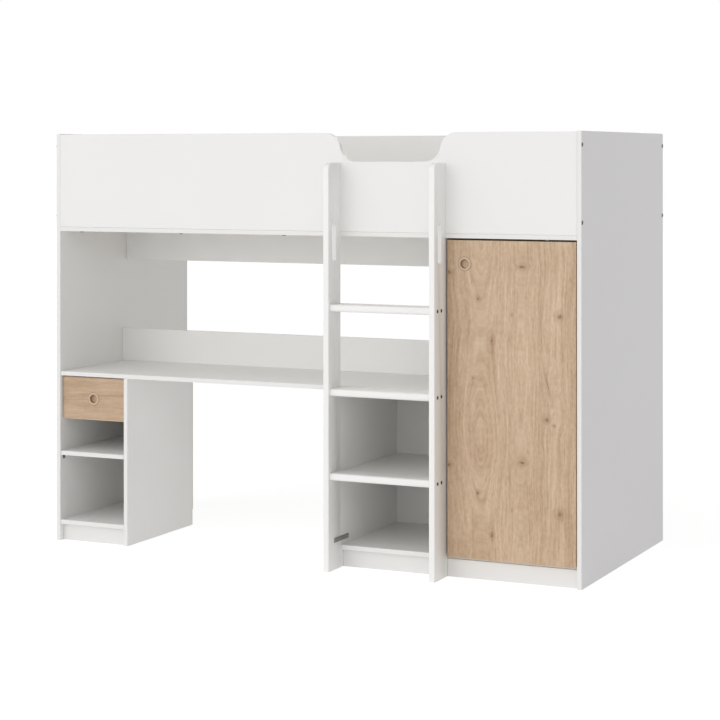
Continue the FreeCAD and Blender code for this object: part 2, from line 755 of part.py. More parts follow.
def door():
    """The wardrobe door with its grip, and the bumpers that it closes on."""
    board("wardrobe_door", (DOOR_LEFT, FRONT, DOOR_BOTTOM), (DOOR_RIGHT, DOOR_BACK, DOOR_TOP))
    grip("door_grip", (DOOR_LEFT + S.grip_inset, FRONT, DOOR_TOP - S.grip_drop), "wardrobe_door")
    places = (WARDROBE_LEFT + S.bumper_inset, WARDROBE_LEFT + S.wardrobe_width / 2)
    bumper_z = S.plinth_height + S.board - S.bumper_radius
    bumpers = [rod(f"bumper_{index}", (place_x, WARDROBE_FRONT, bumper_z), "-y", S.bumper_radius,
                   S.door_back_gap - S.slide_play) for index, place_x in enumerate(places, start=1)]
    node(group("door_bumpers", bumpers))


def hinge_cup(label, height):
    """A round cup with two ears on the door's back, and two lugs inside it for the pin."""
    mouth = DOOR_BACK + S.ear_thickness
    shell = rod(f"{label}_shell", (CUP_X, mouth, height), "-y", S.cup_radius, S.cup_depth + S.ear_thickness)
    ears = block(f"{label}_ears", (CUP_X - S.ear_width / 2, DOOR_BACK, height - S.ear_height / 2),
                 (S.ear_width, S.ear_thickness, S.ear_height))
    inside_depth = S.cup_depth + S.ear_thickness - S.cup_wall + S.overrun
    inside = rod(f"{label}_inside", (CUP_X, mouth + S.overrun, height), "-y",
                 S.cup_radius - S.cup_wall, inside_depth)
    hollow = cut(f"{label}_hollow", fuse(f"{label}_blank", [shell, ears]), [inside])
    cup_floor = DOOR_BACK - S.cup_depth
    lug_gap = S.arm_height / 2 + S.lug_play
    lug_extent = (S.lug_width, PIVOT_Y + S.lug_width / 2 - cup_floor, S.lug_thickness)
    lugs = [block(f"{label}_lug_{name}", (PIVOT_X - S.lug_width / 2, cup_floor, low), lug_extent)
            for name, low in (("low", height - lug_gap - S.lug_thickness), ("high", height + lug_gap))]
    pin_length = (lug_gap + S.lug_thickness) * 2
    pin_start = (PIVOT_X, PIVOT_Y, height - pin_length / 2)
    bore = rod(f"{label}_bore", ahead(pin_start, "-z", S.overrun), "+z",
               S.hinge_pin_radius + S.drill_play, pin_length + S.overrun * 2)
    TOOLS[label] = [bore]
    recess = rod(f"{label}_recess", (CUP_X, DOOR_BACK + S.overrun, height), "-y",
                 S.cup_radius + S.drill_play, S.cup_depth + S.drill_play + S.overrun)
    machine(recess, "wardrobe_door")
    screws = []
    for name, offset in (("low", -S.ear_screw_offset), ("high", S.ear_screw_offset)):
        seat = (CUP_X, mouth, height + offset)
        screws.append(screw(f"{label}_screw_{name}", seat, "-y", SMALL_SCREW, label, "wardrobe_door"))
    cup = cut(label, fuse(f"{label}_whole", [hollow, *lugs]), TOOLS.pop(label))
    pin = rod(f"{label}_pin", pin_start, "+z", S.hinge_pin_radius, pin_length)
    return cup, pin, screws


def hinge_arm(label, height):
    """A swan-necked arm: an eye on the pin, a bar, a bend round the door's edge and a tail."""
    low = height - S.arm_height / 2
    pivot = (PIVOT_X, PIVOT_Y, low)
    outer = S.arm_radius + S.arm_thickness
    leaves = math.radians(ARM_LEAVES)
    eye = rod(f"{label}_eye", pivot, "+z", S.eye_radius, S.arm_height)
    half = S.arm_thickness / 2
    bar_corner = (PIVOT_X + half * math.sin(leaves), PIVOT_Y - half * math.cos(leaves), low)
    bar = block(f"{label}_bar", bar_corner, (outer, S.arm_thickness, S.arm_height))
    bar.Placement.Rotation = Rotation(Vector(0, 0, 1), ARM_LEAVES)
    bend = rod(f"{label}_bend", pivot, "+z", outer, S.arm_height)
    bend.Angle = ARM_LEAVES - ARM_JOINS
    bend.Placement.Rotation = Rotation(Vector(0, 0, 1), ARM_JOINS)
    inside = rod(f"{label}_inside", ahead(pivot, "-z", S.overrun), "+z",
                 S.arm_radius, S.arm_height + S.overrun * 2)
    tail_right = INNER_RIGHT - S.plate_thickness
    tail = block(f"{label}_tail", (tail_right - S.tail_width, PIVOT_Y + S.tail_setback, low),
                 (S.tail_width, S.tail_length, S.arm_height))
    neck = cut(f"{label}_neck", bend, [inside])
    bore = rod(f"{label}_bore", ahead(pivot, "-z", S.overrun), "+z",
               S.hinge_pin_radius + S.hinge_pin_play, S.arm_height + S.overrun * 2)
    return cut(label, fuse(f"{label}_blank", [eye, bar, neck, tail]), [bore])


def hinge_plate(label, height):
    """The plate that holds an arm on the end panel, and its two screws."""
    corner = (INNER_RIGHT - S.plate_thickness, PIVOT_Y + S.plate_setback, height - S.plate_height / 2)
    blank = block(f"{label}_blank", corner, (S.plate_thickness, S.plate_length, S.plate_height))
    TOOLS[label] = []
    screws = []
    for name, offset in (("low", -S.plate_screw_offset), ("high", S.plate_screw_offset)):
        seat = (corner[0], corner[1] + S.plate_length / 2, height + offset)
        screws.append(screw(f"{label}_screw_{name}", seat, "+x", SMALL_SCREW, label, "right_end_panel"))
    return cut(label, blank, TOOLS.pop(label)), screws


def hinges():
    """Three concealed hinges: the cup half on the door, the arm half on the end panel."""
    cups, pins, cup_screws, arms, plates = [], [], [], [], []
    for index, height in enumerate(HINGE_HEIGHTS, start=1):
        cup, pin, screws = hinge_cup(f"hinge_cup_{index}", height)
        cups.append(cup)
        pins.append(pin)
        cup_screws.extend(screws)
        arms.append(hinge_arm(f"hinge_arm_{index}", height))
        plate, screws = hinge_plate(f"hinge_plate_{index}", height)
        plates.append(plate)
        SMALL_SCREWS.extend(screws)
    node(group("hinge_cups", cups))
    node(group("hinge_pins", pins))
    node(group("hinge_cup_screws", cup_screws))
    node(group("hinge_arms", arms))
    node(group("hinge_plates", plates))


def stile(label, left):
    """A ladder side with a rounded top corner and a long slot to hold on to."""
    item, sketch = body(f"{label}_blank", (left, LADDER_FRONT, FLOOR), "YZ_Plane")
    top = LADDER_TOP
    outline = [
        (FLOOR, FLOOR),
        (S.ladder_depth, FLOOR),
        (S.ladder_depth, top),
        (S.stile_round, top),
        (FLOOR, top - S.stile_round),
    ]
    loop(sketch, outline, {3: S.stile_round})
    near = S.slot_inset
    far = S.slot_inset + S.slot_width
    middle = S.slot_inset + S.slot_width / 2
    high = LADDER_TOP - S.slot_drop
    low = high - S.slot_length
    half = S.slot_width / 2
    slot = [
        (near, low + half),
        (middle, low),
        (far, low + half),
        (far, high - half),
        (middle, high),
        (near, high - half),
    ]
    loop(sketch, slot, {0: middle, 1: middle, 3: middle, 4: middle})
    pad(item, sketch, S.stile_thickness)
    BLANKS[label] = item


def ladder_step(label, top):
    """A tread with rounded front edges between the stiles."""
    corner = (STEP_LEFT, LADDER_FRONT + S.step_inset, top - S.step_thickness)
    item, sketch = body(f"{label}_blank", corner, "YZ_Plane")
    outline = [
        (S.step_round, FLOOR),
        (S.step_depth, FLOOR),
        (S.step_depth, S.step_thickness),
        (S.step_round, S.step_thickness),
        (FLOOR, S.step_thickness - S.step_round),
        (FLOOR, S.step_round),
    ]
    loop(sketch, outline, {3: S.step_round, 5: S.step_round})
    pad(item, sketch, STEP_RIGHT - STEP_LEFT)
    BLANKS[label] = item


def link_plates():
    """Flat plates that tie the ladder's feet to the bookcase, the right one with a small step in it."""
    low_front = FRONT - S.link_front
    item, sketch = body("link_plate_left_blank", (STEP_LEFT, low_front, S.link_rise), "XY_Plane")
    length = S.link_front + S.link_back
    loop(sketch, [(FLOOR, FLOOR), (S.link_thickness, FLOOR), (S.link_thickness, length), (FLOOR, length)])
    pad(item, sketch, S.link_height)
    BLANKS["link_plate_left"] = item
    offset = WARDROBE_OUTSIDE - STEP_RIGHT
    corner = (STEP_RIGHT - S.link_thickness, low_front, S.link_rise)
    item, sketch = body("link_plate_right_blank", corner, "XY_Plane")
    bend = S.link_front + S.link_thickness
    points = [
        (FLOOR, FLOOR),
        (S.link_thickness, FLOOR),
        (S.link_thickness, S.link_front),
        (offset + S.link_thickness, S.link_front + offset),
        (offset + S.link_thickness, length),
        (offset, length),
        (offset, bend + offset),
        (FLOOR, bend),
    ]
    loop(sketch, points)
    pad(item, sketch, S.link_height)
    BLANKS["link_plate_right"] = item


def link_plate_screws():
    """Four screws in each link plate."""
    height = S.link_rise + S.link_height / 2
    left_face = STEP_LEFT + S.link_thickness
    right_faces = (STEP_RIGHT - S.link_thickness, WARDROBE_OUTSIDE - S.link_thickness)
    for name, offset in (("near", S.link_screw_near), ("far", S.link_screw_far)):
        for side, place_y in (("stile", FRONT - offset), ("side", FRONT + offset)):
            on_stile = side == "stile"
            left_board = "ladder_stile_left" if on_stile else "bookcase_side"
            right_board = "ladder_stile_right" if on_stile else "wardrobe_side"
            right_face = right_faces[0] if on_stile else right_faces[1]
            SMALL_SCREWS.append(screw(f"link_screw_left_{side}_{name}", (left_face, place_y, height), "-x",
                                      SMALL_SCREW, "link_plate_left", left_board))
            SMALL_SCREWS.append(screw(f"link_screw_right_{side}_{name}", (right_face, place_y, height), "+x",
                                      SMALL_SCREW, "link_plate_right", right_board))


def ladder():
    """The fixed ladder: two stiles, three steps, their screws, and what ties it to the bed."""
    stile("ladder_stile_left", LADDER_LEFT)
    stile("ladder_stile_right", STEP_RIGHT)
    screws = []
    for index in range(STEP_COUNT):
        label = f"ladder_step_{index + 1}"
        top = S.first_step + S.step_pitch * index
        ladder_step(label, top)
        height = top - S.step_thickness / 2
        for row in range(2):
            place_y = LADDER_FRONT + S.step_screw_inset + S.step_screw_gap * row
            name = f"step_screw_{index + 1}_{row + 1}"
            screws.append(screw(f"{name}_left", (LADDER_LEFT, place_y, height), "+x",
                                STEP_SCREW, "ladder_stile_left", label))
            screws.append(screw(f"{name}_right", (WARDROBE_LEFT, place_y, height), "-x",
                                STEP_SCREW, "ladder_stile_right", label))
    node(group("ladder_step_screws", screws))
    bolts = []
    height = LEDGE_TOP + S.ladder_bolt_rise
    for side, left in (("left", LADDER_LEFT), ("right", STEP_RIGHT)):
        seat = (left + S.stile_thickness / 2, FRONT + S.board, height)
        bolts.append(screw(f"ladder_bolt_{side}", seat, "-y", LADDER_BOLT,
                           "front_guard", f"ladder_stile_{side}"))
    node(group("ladder_bolts", bolts))
    link_plates()
    link_plate_screws()


def barrel_nut(label, guard, middle):
    """A round cross nut, let into the guard's inner face so that its middle lies on the bolt."""
    inner_face, axis = (FRONT + S.board, "-y") if guard == "front_guard" else (BACK - S.board, "+y")
    mouth = (middle[0], inner_face, middle[2])
    start = ahead(mouth, opposite(axis), S.overrun)
    depth = S.overrun + S.nut_sink + S.nut_length + S.drill_play
    machine(rod(f"{label}_hole", start, axis, S.nut_radius + S.drill_play, depth), guard)
    return rod(label, ahead(mouth, axis, S.nut_sink), axis, S.nut_radius, S.nut_length)


def guard_bolts():
    """Bolts through the end panels into barrel nuts in the ends of both guards."""
    bolts, nuts = [], []
    reach = S.board + S.nut_inset
    heights = (("low", LEDGE_TOP + S.guard_bolt_rise), ("high", S.bed_height - S.guard_bolt_drop))
    for guard, place_y in (("front_guard", FRONT + S.board / 2), ("rear_guard", BACK - S.board / 2)):
        for name, height in heights:
            for panel, face, axis in (("left_end_panel", LEFT, "+x"), ("right_end_panel", RIGHT, "-x")):
                label = f"{guard}_bolt_{name}_{panel}"
                nut_label = f"{label}_nut"
                seat = (face, place_y, height)
                blank = barrel_nut(f"{nut_label}_blank", guard, ahead(seat, axis, reach))
                bolts.append(screw(label, seat, axis, GUARD_BOLT, panel, guard, nut_label))
                nuts.append(cut(nut_label, blank, TOOLS.pop(nut_label)))
    node(group("guard_bolts", bolts))
    node(group("guard_bolt_nuts", nuts))


def ledge_screws():
    """Round-headed screws up through the ledges into the guards that stand on them."""
    screws = []
    for side, place_y in (("front", FRONT + S.board / 2), ("rear", BACK - S.board / 2)):
        for index, share in enumerate(LEDGE_SCREW_SHARES, start=1):
            seat = (INNER_LEFT + INNER_LENGTH * share, place_y, LEDGE_UNDER)
            screws.append(screw(f"{side}_ledge_screw_{index}", seat, "+z", LEDGE_SCREW,
                                f"{side}_ledge", f"{side}_guard"))
    node(group("ledge_screws", screws))


def shelf_pins():
    """Four pins under each loose shelf."""
    pins = []
    sides = (
        ("pedestal_left", INNER_LEFT, "+x", "left_end_panel"),
        ("pedestal_right", PEDESTAL_RIGHT, "-x", "pedestal_side"),
        ("bookcase_left", STEP_LEFT, "+x", "bookcase_side"),
        ("bookcase_right", WARDROBE_OUTSIDE, "-x", "wardrobe_side"),
    )
    rows = (("front", FRONT + S.shelf_pin_inset), ("back", CARCASS_BACK - S.shelf_pin_inset))
    pad_low = SHELF_UNDER - S.shelf_pin_drop
    for side, face, axis, panel in sides:
        for row, place_y in rows:
            label = f"shelf_pin_{side}_{row}"
            seat = (face, place_y, pad_low + S.shelf_pin_drop / 2)
            left = face if axis == "+x" else face - S.shelf_pin_reach
            support = block(f"{label}_pad", (left, place_y - S.shelf_pin_width / 2, pad_low),
                            (S.shelf_pin_reach, S.shelf_pin_width, S.shelf_pin_drop))
            peg = rod(f"{label}_peg", seat, opposite(axis), S.shelf_pin_peg, S.shelf_pin_depth)
            drill = rod(f"{label}_drill", ahead(seat, axis, S.overrun), opposite(axis),
                        S.shelf_pin_peg + S.drill_play, S.shelf_pin_depth + S.tip_play + S.overrun)
            machine(drill, panel)
            pins.append(fuse(label, [support, peg]))
    node(group("shelf_pins", pins))


def end_dowels(name, ends, spots):
    """Dowels in both ends of a board, at the spots given by Y and Z."""
    dowels = []
    for panel, face, axis in ends:
        for index, (place_y, height) in enumerate(spots, start=1):
            dowels.append(dowel(f"dowel_{name}_{panel}_{index}", (face, place_y, height), axis, panel, name))
    return dowels


def joint_dowels():
    """Wooden dowels in the blind joints between boards."""
    pedestal_ends = (("left_end_panel", INNER_LEFT, "+x"), ("pedestal_side", PEDESTAL_RIGHT, "-x"))
    bookcase_ends = (("bookcase_side", STEP_LEFT, "+x"), ("wardrobe_side", WARDROBE_OUTSIDE, "-x"))
    wardrobe_ends = (("wardrobe_side", WARDROBE_LEFT, "+x"), ("right_end_panel", INNER_RIGHT, "-x"))
    desk_ends = (("left_end_panel", INNER_LEFT, "+x"), ("wardrobe_side", WARDROBE_OUTSIDE, "-x"))
    half = S.board / 2
    bottom_z = S.plinth_height + half
    carcass_rows = [CARCASS_FRONT + CARCASS_DEPTH * share for share in DEPTH_SHARES]
    wardrobe_rows = [WARDROBE_FRONT + WARDROBE_DEPTH * share for share in WARDROBE_DEPTH_SHARES]
    rail_y = RAIL_FRONT + half
    plinth_y = FRONT + S.plinth_recess + half
    dowels = []
    for name, ends in (("pedestal_bottom", pedestal_ends), ("bookcase_bottom", bookcase_ends)):
        dowels += end_dowels(name, ends, [(row, bottom_z) for row in carcass_rows])
    for name, ends in (("pedestal_plinth", pedestal_ends), ("bookcase_plinth", bookcase_ends)):
        dowels += end_dowels(name, ends, [(plinth_y, S.plinth_height * PLINTH_SHARE)])
    dowels += end_dowels("wardrobe_bottom", wardrobe_ends, [(row, bottom_z) for row in wardrobe_rows])
    dowels += end_dowels("wardrobe_top", wardrobe_ends, [(row, LEDGE_UNDER - half) for row in wardrobe_rows])
    dowels += end_dowels("wardrobe_plinth", wardrobe_ends,
                         [(WARDROBE_PLINTH_FRONT + half, S.plinth_height * WARDROBE_PLINTH_SHARE)])
    dowels += end_dowels("desk_top", desk_ends, [(row, DESK_UNDER + half) for row in carcass_rows])
    dowels += end_dowels("middle_rail", desk_ends,
                         [(rail_y, RAIL_BOTTOM + S.rail_height * share) for share in RAIL_SHARES])
    dowels += end_dowels("wardrobe_rail", wardrobe_ends,
                         [(rail_y, RAIL_BOTTOM + S.rail_height * share) for share in WARDROBE_RAIL_SHARES])
    for side, left in (("pedestal_side", PEDESTAL_RIGHT), ("bookcase_side", BOOKCASE_OUTSIDE)):
        for index, share in enumerate(SIDE_TOP_SHARES, start=1):
            point = (left + half, CARCASS_FRONT + CARCASS_DEPTH * share, DESK_UNDER)
            dowels.append(dowel(f"dowel_top_{side}_{index}", point, "-z", "desk_top", side))
    for index, share in enumerate(UPSTAND_SHARES, start=1):
        place_x = INNER_LEFT + (WARDROBE_OUTSIDE - INNER_LEFT) * share
        point = (place_x, FRONT + S.upstand_setback + half, S.desk_height)
        dowels.append(dowel(f"dowel_upstand_{index}", point, "+z", "desk_top", "desk_upstand"))
    node(group("joint_dowels", dowels))


def small_screws():
    """The small wood screws of the link plates, hinge plates and drawer runners."""
    node(group("small_screws", SMALL_SCREWS))


def check_and_write():
    """Stop on any failed object or bad solid, then write each sub-part."""
    DOC.recompute()
    for item in DOC.Objects:
        if "Invalid" in item.State or "Error" in item.State:
            raise RuntimeError(f"{item.Label} failed: {item.State}")
    for item in NODES:
        if item.Shape.isNull() or not item.Shape.isValid():
            raise RuntimeError(f"{item.Label} has no sound shape")
    os.makedirs("parts", exist_ok=True)
    for item in NODES:
        item.Shape.exportStep(f"parts/{item.Label}.step")
        print(f"{item.Label}: {len(item.Shape.Solids)} solid(s), {item.Shape.Volume:.0f} cubic mm")
    print(f"{len(NODES)} sub-parts")


def main():
    """Build every sub-assembly, fasten it, and write the parts."""
    end_panels()
    guards()
    bed_base()
    desk()
    pedestal()
    bookcase()
    wardrobe()
    hanging_rail()
    drawer()
    door()
    hinges()
    ladder()
    guard_bolts()
    ledge_screws()
    shelf_pins()
    joint_dowels()
    small_screws()
    finish_boards()
    check_and_write()


main()
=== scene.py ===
"""Looks of a white high sleeper bed with oak fronts, built in the bed's own frame, in metres."""

import logging
import math
from dataclasses import dataclass, replace
from enum import Enum, IntEnum
from typing import Iterable, Sequence

import bmesh
import bpy
from bmesh.types import BMEdge, BMFace, BMVert
from mathutils import Matrix, Vector

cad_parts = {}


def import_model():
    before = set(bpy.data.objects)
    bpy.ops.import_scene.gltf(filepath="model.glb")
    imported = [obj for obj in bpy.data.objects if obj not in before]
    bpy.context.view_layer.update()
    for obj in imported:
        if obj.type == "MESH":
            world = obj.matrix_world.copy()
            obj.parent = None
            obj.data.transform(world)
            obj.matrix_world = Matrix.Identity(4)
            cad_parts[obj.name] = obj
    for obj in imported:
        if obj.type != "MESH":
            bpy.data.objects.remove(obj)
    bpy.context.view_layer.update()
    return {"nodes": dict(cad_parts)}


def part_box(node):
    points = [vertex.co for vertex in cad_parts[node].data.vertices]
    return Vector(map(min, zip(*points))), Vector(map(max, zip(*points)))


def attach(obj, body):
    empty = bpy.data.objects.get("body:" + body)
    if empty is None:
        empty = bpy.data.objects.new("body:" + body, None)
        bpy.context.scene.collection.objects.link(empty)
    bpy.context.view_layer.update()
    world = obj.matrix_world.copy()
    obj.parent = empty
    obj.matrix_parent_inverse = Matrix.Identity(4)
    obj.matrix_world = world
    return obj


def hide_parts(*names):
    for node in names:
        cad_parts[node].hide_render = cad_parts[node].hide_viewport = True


LOG = logging.getLogger("high_sleeper_bed")

Colour = tuple[float, float, float]
Pair = tuple[float, float]
Triple = tuple[float, float, float]
Socket = bpy.types.NodeSocket

AXES = range(3)
X_AXIS, Y_AXIS, Z_AXIS = AXES
MM_PER_METRE = 1000.0
QUARTER_TURN = 90.0
HALF_TURN = 180.0

# The ways that faces look, and the turn of an upright piece to the front.
LEFTWARD = Vector((-1.0, 0.0, 0.0)).freeze()
RIGHTWARD = Vector((1.0, 0.0, 0.0)).freeze()
FRONTWARD = Vector((0.0, -1.0, 0.0)).freeze()
BACKWARD = Vector((0.0, 1.0, 0.0)).freeze()
UPWARD = Vector((0.0, 0.0, 1.0)).freeze()
TO_FRONT = Matrix.Rotation(math.pi / 2, 4, "X").freeze()

# Points nearer than this are one point, and faces nearer than this to a plane lie in it.
SAME_POINT = 1e-6
SAME_PLANE = 1e-4
# The digits after the point by which places are put in order and lengths are told apart.
PLACE_DIGITS = 4
LENGTH_DIGITS = 5
# How much of a direction a normal has where its face looks roughly, and exactly, that way.
FACING = 0.8
SQUARE = 0.99
# Edges sharper than the first angle are rounded, and those flatter than the second dissolved.
SHARP_ANGLE = math.radians(40.0)
FLAT_ANGLE = math.radians(1.0)
# Up to these angles, in degrees, the faces of milled and of turned pieces blend.
MILLED_SMOOTH = 35.0
TURNED_SMOOTH = 40.0
# The points past this share of a fastener's widest reach are its rim.
RIM_SHARE = 0.98
# The square cut round a drilled mouth, in the mouth's radii, and the mouth's facets.
MOUTH_MARGIN = 1.35
MOUTH_FACETS = 48
# The sides of the recess in a bolt.
HEX_SIDES = 6

# The range that most of a soft noise lies in, and the whole range.
NOISE_RANGE = (0.3, 0.7)
WHOLE_RANGE = (0.0, 1.0)
# The sockets of a mix node for its share and two colours, and for the colour that it gives.
MIX_SHARE, MIX_FIRST, MIX_SECOND = 0, 6, 7
MIX_COLOUR = 2


class Body(Enum):
    """The rigid bodies that pieces ride on."""

    BED = "bed"
    DRAWER = "drawer"
    DOOR = "door"


class Plane(Enum):
    """Where a drawing's own x, y and z point in the bed's frame."""

    XY = ((1.0, 0.0, 0.0), (0.0, 1.0, 0.0), (0.0, 0.0, 1.0))
    YZ = ((0.0, 1.0, 0.0), (0.0, 0.0, 1.0), (1.0, 0.0, 0.0))
    XZ = ((1.0, 0.0, 0.0), (0.0, 0.0, 1.0), (0.0, -1.0, 0.0))

    def turn(self) -> Matrix:
        """The rotation from the drawing to the bed's frame."""
        return Matrix(self.value).transposed().to_4x4()


class Grain(Enum):
    """Which way the oak pattern runs."""

    UPRIGHT = "upright"
    ACROSS = "across"


class Drive(Enum):
    """The recess in the head of a fastener."""

    HEX = "hex"
    CROSS = "cross"


class Hand(Enum):
    """The left or the right, as a direction along x."""

    LEFT = -1.0
    RIGHT = 1.0


class Coat(IntEnum):
    """The numbers of a piece's finishes, which its faces hold."""

    FIRST = 0
    SECOND = 1
    THIRD = 2


def pick(made: Iterable[object], kind: type) -> list:
    """The vertices, edges or faces among what an operator made."""
    return [item for item in made if isinstance(item, kind)]


def turn_to(way: Vector) -> Matrix:
    """The rotation that takes an upright piece to a direction."""
    return UPWARD.rotation_difference(way).to_matrix().to_4x4()


class Graph:
    """A material's node tree, with one short call for each kind of node that the finishes use."""

    def __init__(self, name: str) -> None:
        """Start an empty tree round its own shader.

        Args:
            name: The material's name.
        """
        self.material = bpy.data.materials.new(name)
        self.material.use_nodes = True
        self.tree = self.material.node_tree
        self.shader = self.tree.nodes["Principled BSDF"]

    def feed(self, socket: Socket, value: object) -> None:
        """Link a socket to another one, or set its value.

        Args:
            socket: The input to feed.
            value: An output socket, a number or a colour.
        """
        if isinstance(value, Socket):
            self.tree.links.new(value, socket)
        elif socket.type == "RGBA":
            socket.default_value = (*value, 1.0)
        else:
            socket.default_value = value

    def node(self, kind: str, inputs: dict, output: int | str = 0, **settings: object) -> Socket:
        """Add a node.

        Args:
            kind: The node's type.
            inputs: Values or sockets by input name or number.
            output: Which output to give back.
            **settings: Properties of the node itself.

        Returns:
            The chosen output socket.
        """
        made = self.tree.nodes.new(kind)
        for key, value in settings.items():
            setattr(made, key, value)
        for key, value in inputs.items():
            self.feed(made.inputs[key], value)
        return made.outputs[output]

    def shade(self, **inputs: object) -> None:
        """Feed the shader's inputs, named with underscores for spaces."""
        for key, value in inputs.items():
            self.feed(self.shader.inputs[key.replace("_", " ")], value)

    def coords(self) -> Socket:
        """Object coordinates, which are the bed's own."""
        return self.node("ShaderNodeTexCoord", {}, "Object")

    def parts(self) -> list[Socket]:
        """Take the Object coordinates apart.

        Returns:
            The sockets of x, y and z.
        """
        made = self.tree.nodes.new("ShaderNodeSeparateXYZ")
        self.feed(made.inputs[0], self.coords())
        return made.outputs[:]

    def mapped(self, vector: Socket, scale: Triple, shift: Triple = (0.0, 0.0, 0.0)) -> Socket:
        """Coordinates scaled and moved."""
        inputs = {"Vector": vector, "Scale": scale, "Location": shift}
        return self.node("ShaderNodeMapping", inputs)

    def noise(self, vector: Socket, scale: float, detail: float = 2.0, roughness: float = 0.5,
              distortion: float = 0.0) -> Socket:
        """Soft noise from 0 to 1.

        Args:
            vector: Where it is read.
            scale: Its marks to the metre.
            detail: How many finer layers it has.
            roughness: How strong they are.
            distortion: How much it is stirred.

        Returns:
            The noise.
        """
        inputs = {"Vector": vector, "Scale": scale, "Detail": detail, "Roughness": roughness,
                  "Distortion": distortion}
        return self.node("ShaderNodeTexNoise", inputs)

    def cells(self, vector: Socket, scale: float) -> Socket:
        """The colours of Voronoi cells."""
        return self.node("ShaderNodeTexVoronoi", {"Vector": vector, "Scale": scale}, "Color")

    def sums(self, operation: str, *values: object) -> Socket:
        """One arithmetic step on numbers."""
        return self.node("ShaderNodeMath", dict(enumerate(values)), operation=operation)

    def length(self, vector: Socket) -> Socket:
        """The length of a vector."""
        return self.node("ShaderNodeVectorMath", {0: vector}, "Value", operation="LENGTH")

    def weigh(self, first: Socket, share: float, second: Socket) -> Socket:
        """Two numbers in one, by the share of the first."""
        rest = self.sums("MULTIPLY", second, 1.0 - share)
        return self.sums("MULTIPLY_ADD", first, share, rest)

    def spread(self, value: Socket, source: Pair, target: Pair, smooth: bool = False) -> Socket:
        """Move a number from one range to another, and hold it there.

        Args:
            value: The number.
            source: The range that it comes from.
            target: The range that it goes to.
            smooth: Whether it starts and ends softly.

        Returns:
            The moved number.
        """
        inputs = {"Value": value, "From Min": source[0], "From Max": source[1],
                  "To Min": target[0], "To Max": target[1]}
        manner = "SMOOTHSTEP" if smooth else "LINEAR"
        return self.node("ShaderNodeMapRange", inputs, interpolation_type=manner)

    def blend(self, factor: object, first: object, second: object) -> Socket:
        """Two colours mixed."""
        inputs = {MIX_SHARE: factor, MIX_FIRST: first, MIX_SECOND: second}
        return self.node("ShaderNodeMix", inputs, MIX_COLOUR, data_type="RGBA")

    def ramp(self, value: Socket, stops: Sequence[float], colours: Sequence[Colour]) -> Socket:
        """Give each number a colour.

        Args:
            value: The number.
            stops: Where the colours lie, from 0 to 1.
            colours: One colour for each stop.

        Returns:
            The colour.
        """
        made = self.tree.nodes.new("ShaderNodeValToRGB")
        self.feed(made.inputs[0], value)
        scale = made.color_ramp.elements
        for place in stops[1:-1]:
            scale.new(place)
        for mark, place, colour in zip(scale, stops, colours):
            mark.position = place
            mark.color = (*colour, 1.0)
        return made.outputs[0]

    def bump(self, height: Socket, relief: Pair) -> None:
        """Give the shader fine relief, by its strength and depth."""
        inputs = {"Height": height, "Strength": relief[0], "Distance": relief[1]}
        self.shade(Normal=self.node("ShaderNodeBump", inputs))


@dataclass(frozen=True)
class Finish:
    """A named surface, whose material is made on first use."""

    name: str

    def material(self) -> bpy.types.Material:
        """Find the finish's material, or make it.

        Returns:
            The material.
        """
        found = bpy.data.materials.get(self.name)
        if found is None:
            graph = Graph(self.name)
            self.paint(graph)
            found = graph.material
        return found

    def paint(self, graph: Graph) -> None:
        """Lay out the finish's nodes."""
        raise NotImplementedError


@dataclass(frozen=True)
class SmoothBoard(Finish):
    """White melamine, lacquer or edge band: nearly even, with a fine pearl and faint clouds."""

    light: Colour = (0.862, 0.855, 0.840)
    dark: Colour = (0.834, 0.827, 0.812)
    roughness: Pair = (0.38, 0.48)
    pearl: float = 0.06
    pearl_scale: float = 700.0
    pearl_depth: float = 0.0002
    pearl_share: float = 0.35
    cloud_scale: float = 3.0
    scuff_scale: float = 4.0
    scuff_stretch: Triple = (40.0, 40.0, 9.0)
    gloss: float = 0.25

    def paint(self, graph: Graph) -> None:
        """Lay out the finish's nodes.

        Args:
            graph: The material's nodes.
        """
        place = graph.coords()
        clouds = graph.noise(place, self.cloud_scale, detail=3.0)
        pearl = graph.noise(place, self.pearl_scale, roughness=0.6)
        scuffs = graph.noise(graph.mapped(place, self.scuff_stretch), self.scuff_scale,
                             detail=4.0, roughness=0.65)
        tone = graph.weigh(pearl, self.pearl_share, clouds)
        graph.shade(Base_Color=graph.blend(tone, self.dark, self.light),
                    Specular_IOR_Level=self.gloss,
                    Roughness=graph.spread(scuffs, NOISE_RANGE, self.roughness))
        graph.bump(pearl, (self.pearl, self.pearl_depth))


@dataclass(frozen=True)
class Marks:
    """Soft marks: how many to the metre across and along the grain, and how much they show."""

    wide: float
    long: float
    weight: float = 1.0


@dataclass(frozen=True)
class Knot:
    """A knot or check in the oak pattern: its place, half sizes, depth of colour and lean."""

    across: float
    along: float
    wide: float
    tall: float
    depth: float
    lean: float = 0.0


@dataclass(frozen=True)
class Heart:
    """The middle line of an oak plank: its place, the eye in its rings, and the eye's depth."""

    across: float
    eye: float
    depth: float


@dataclass(frozen=True)
class SideShade:
    """The darker sides of a front, partly print tone and partly painted shade: the middle between
    them, their start, depth and run.
    """

    middle: float
    start: float
    depth: float
    run: float = 0.05


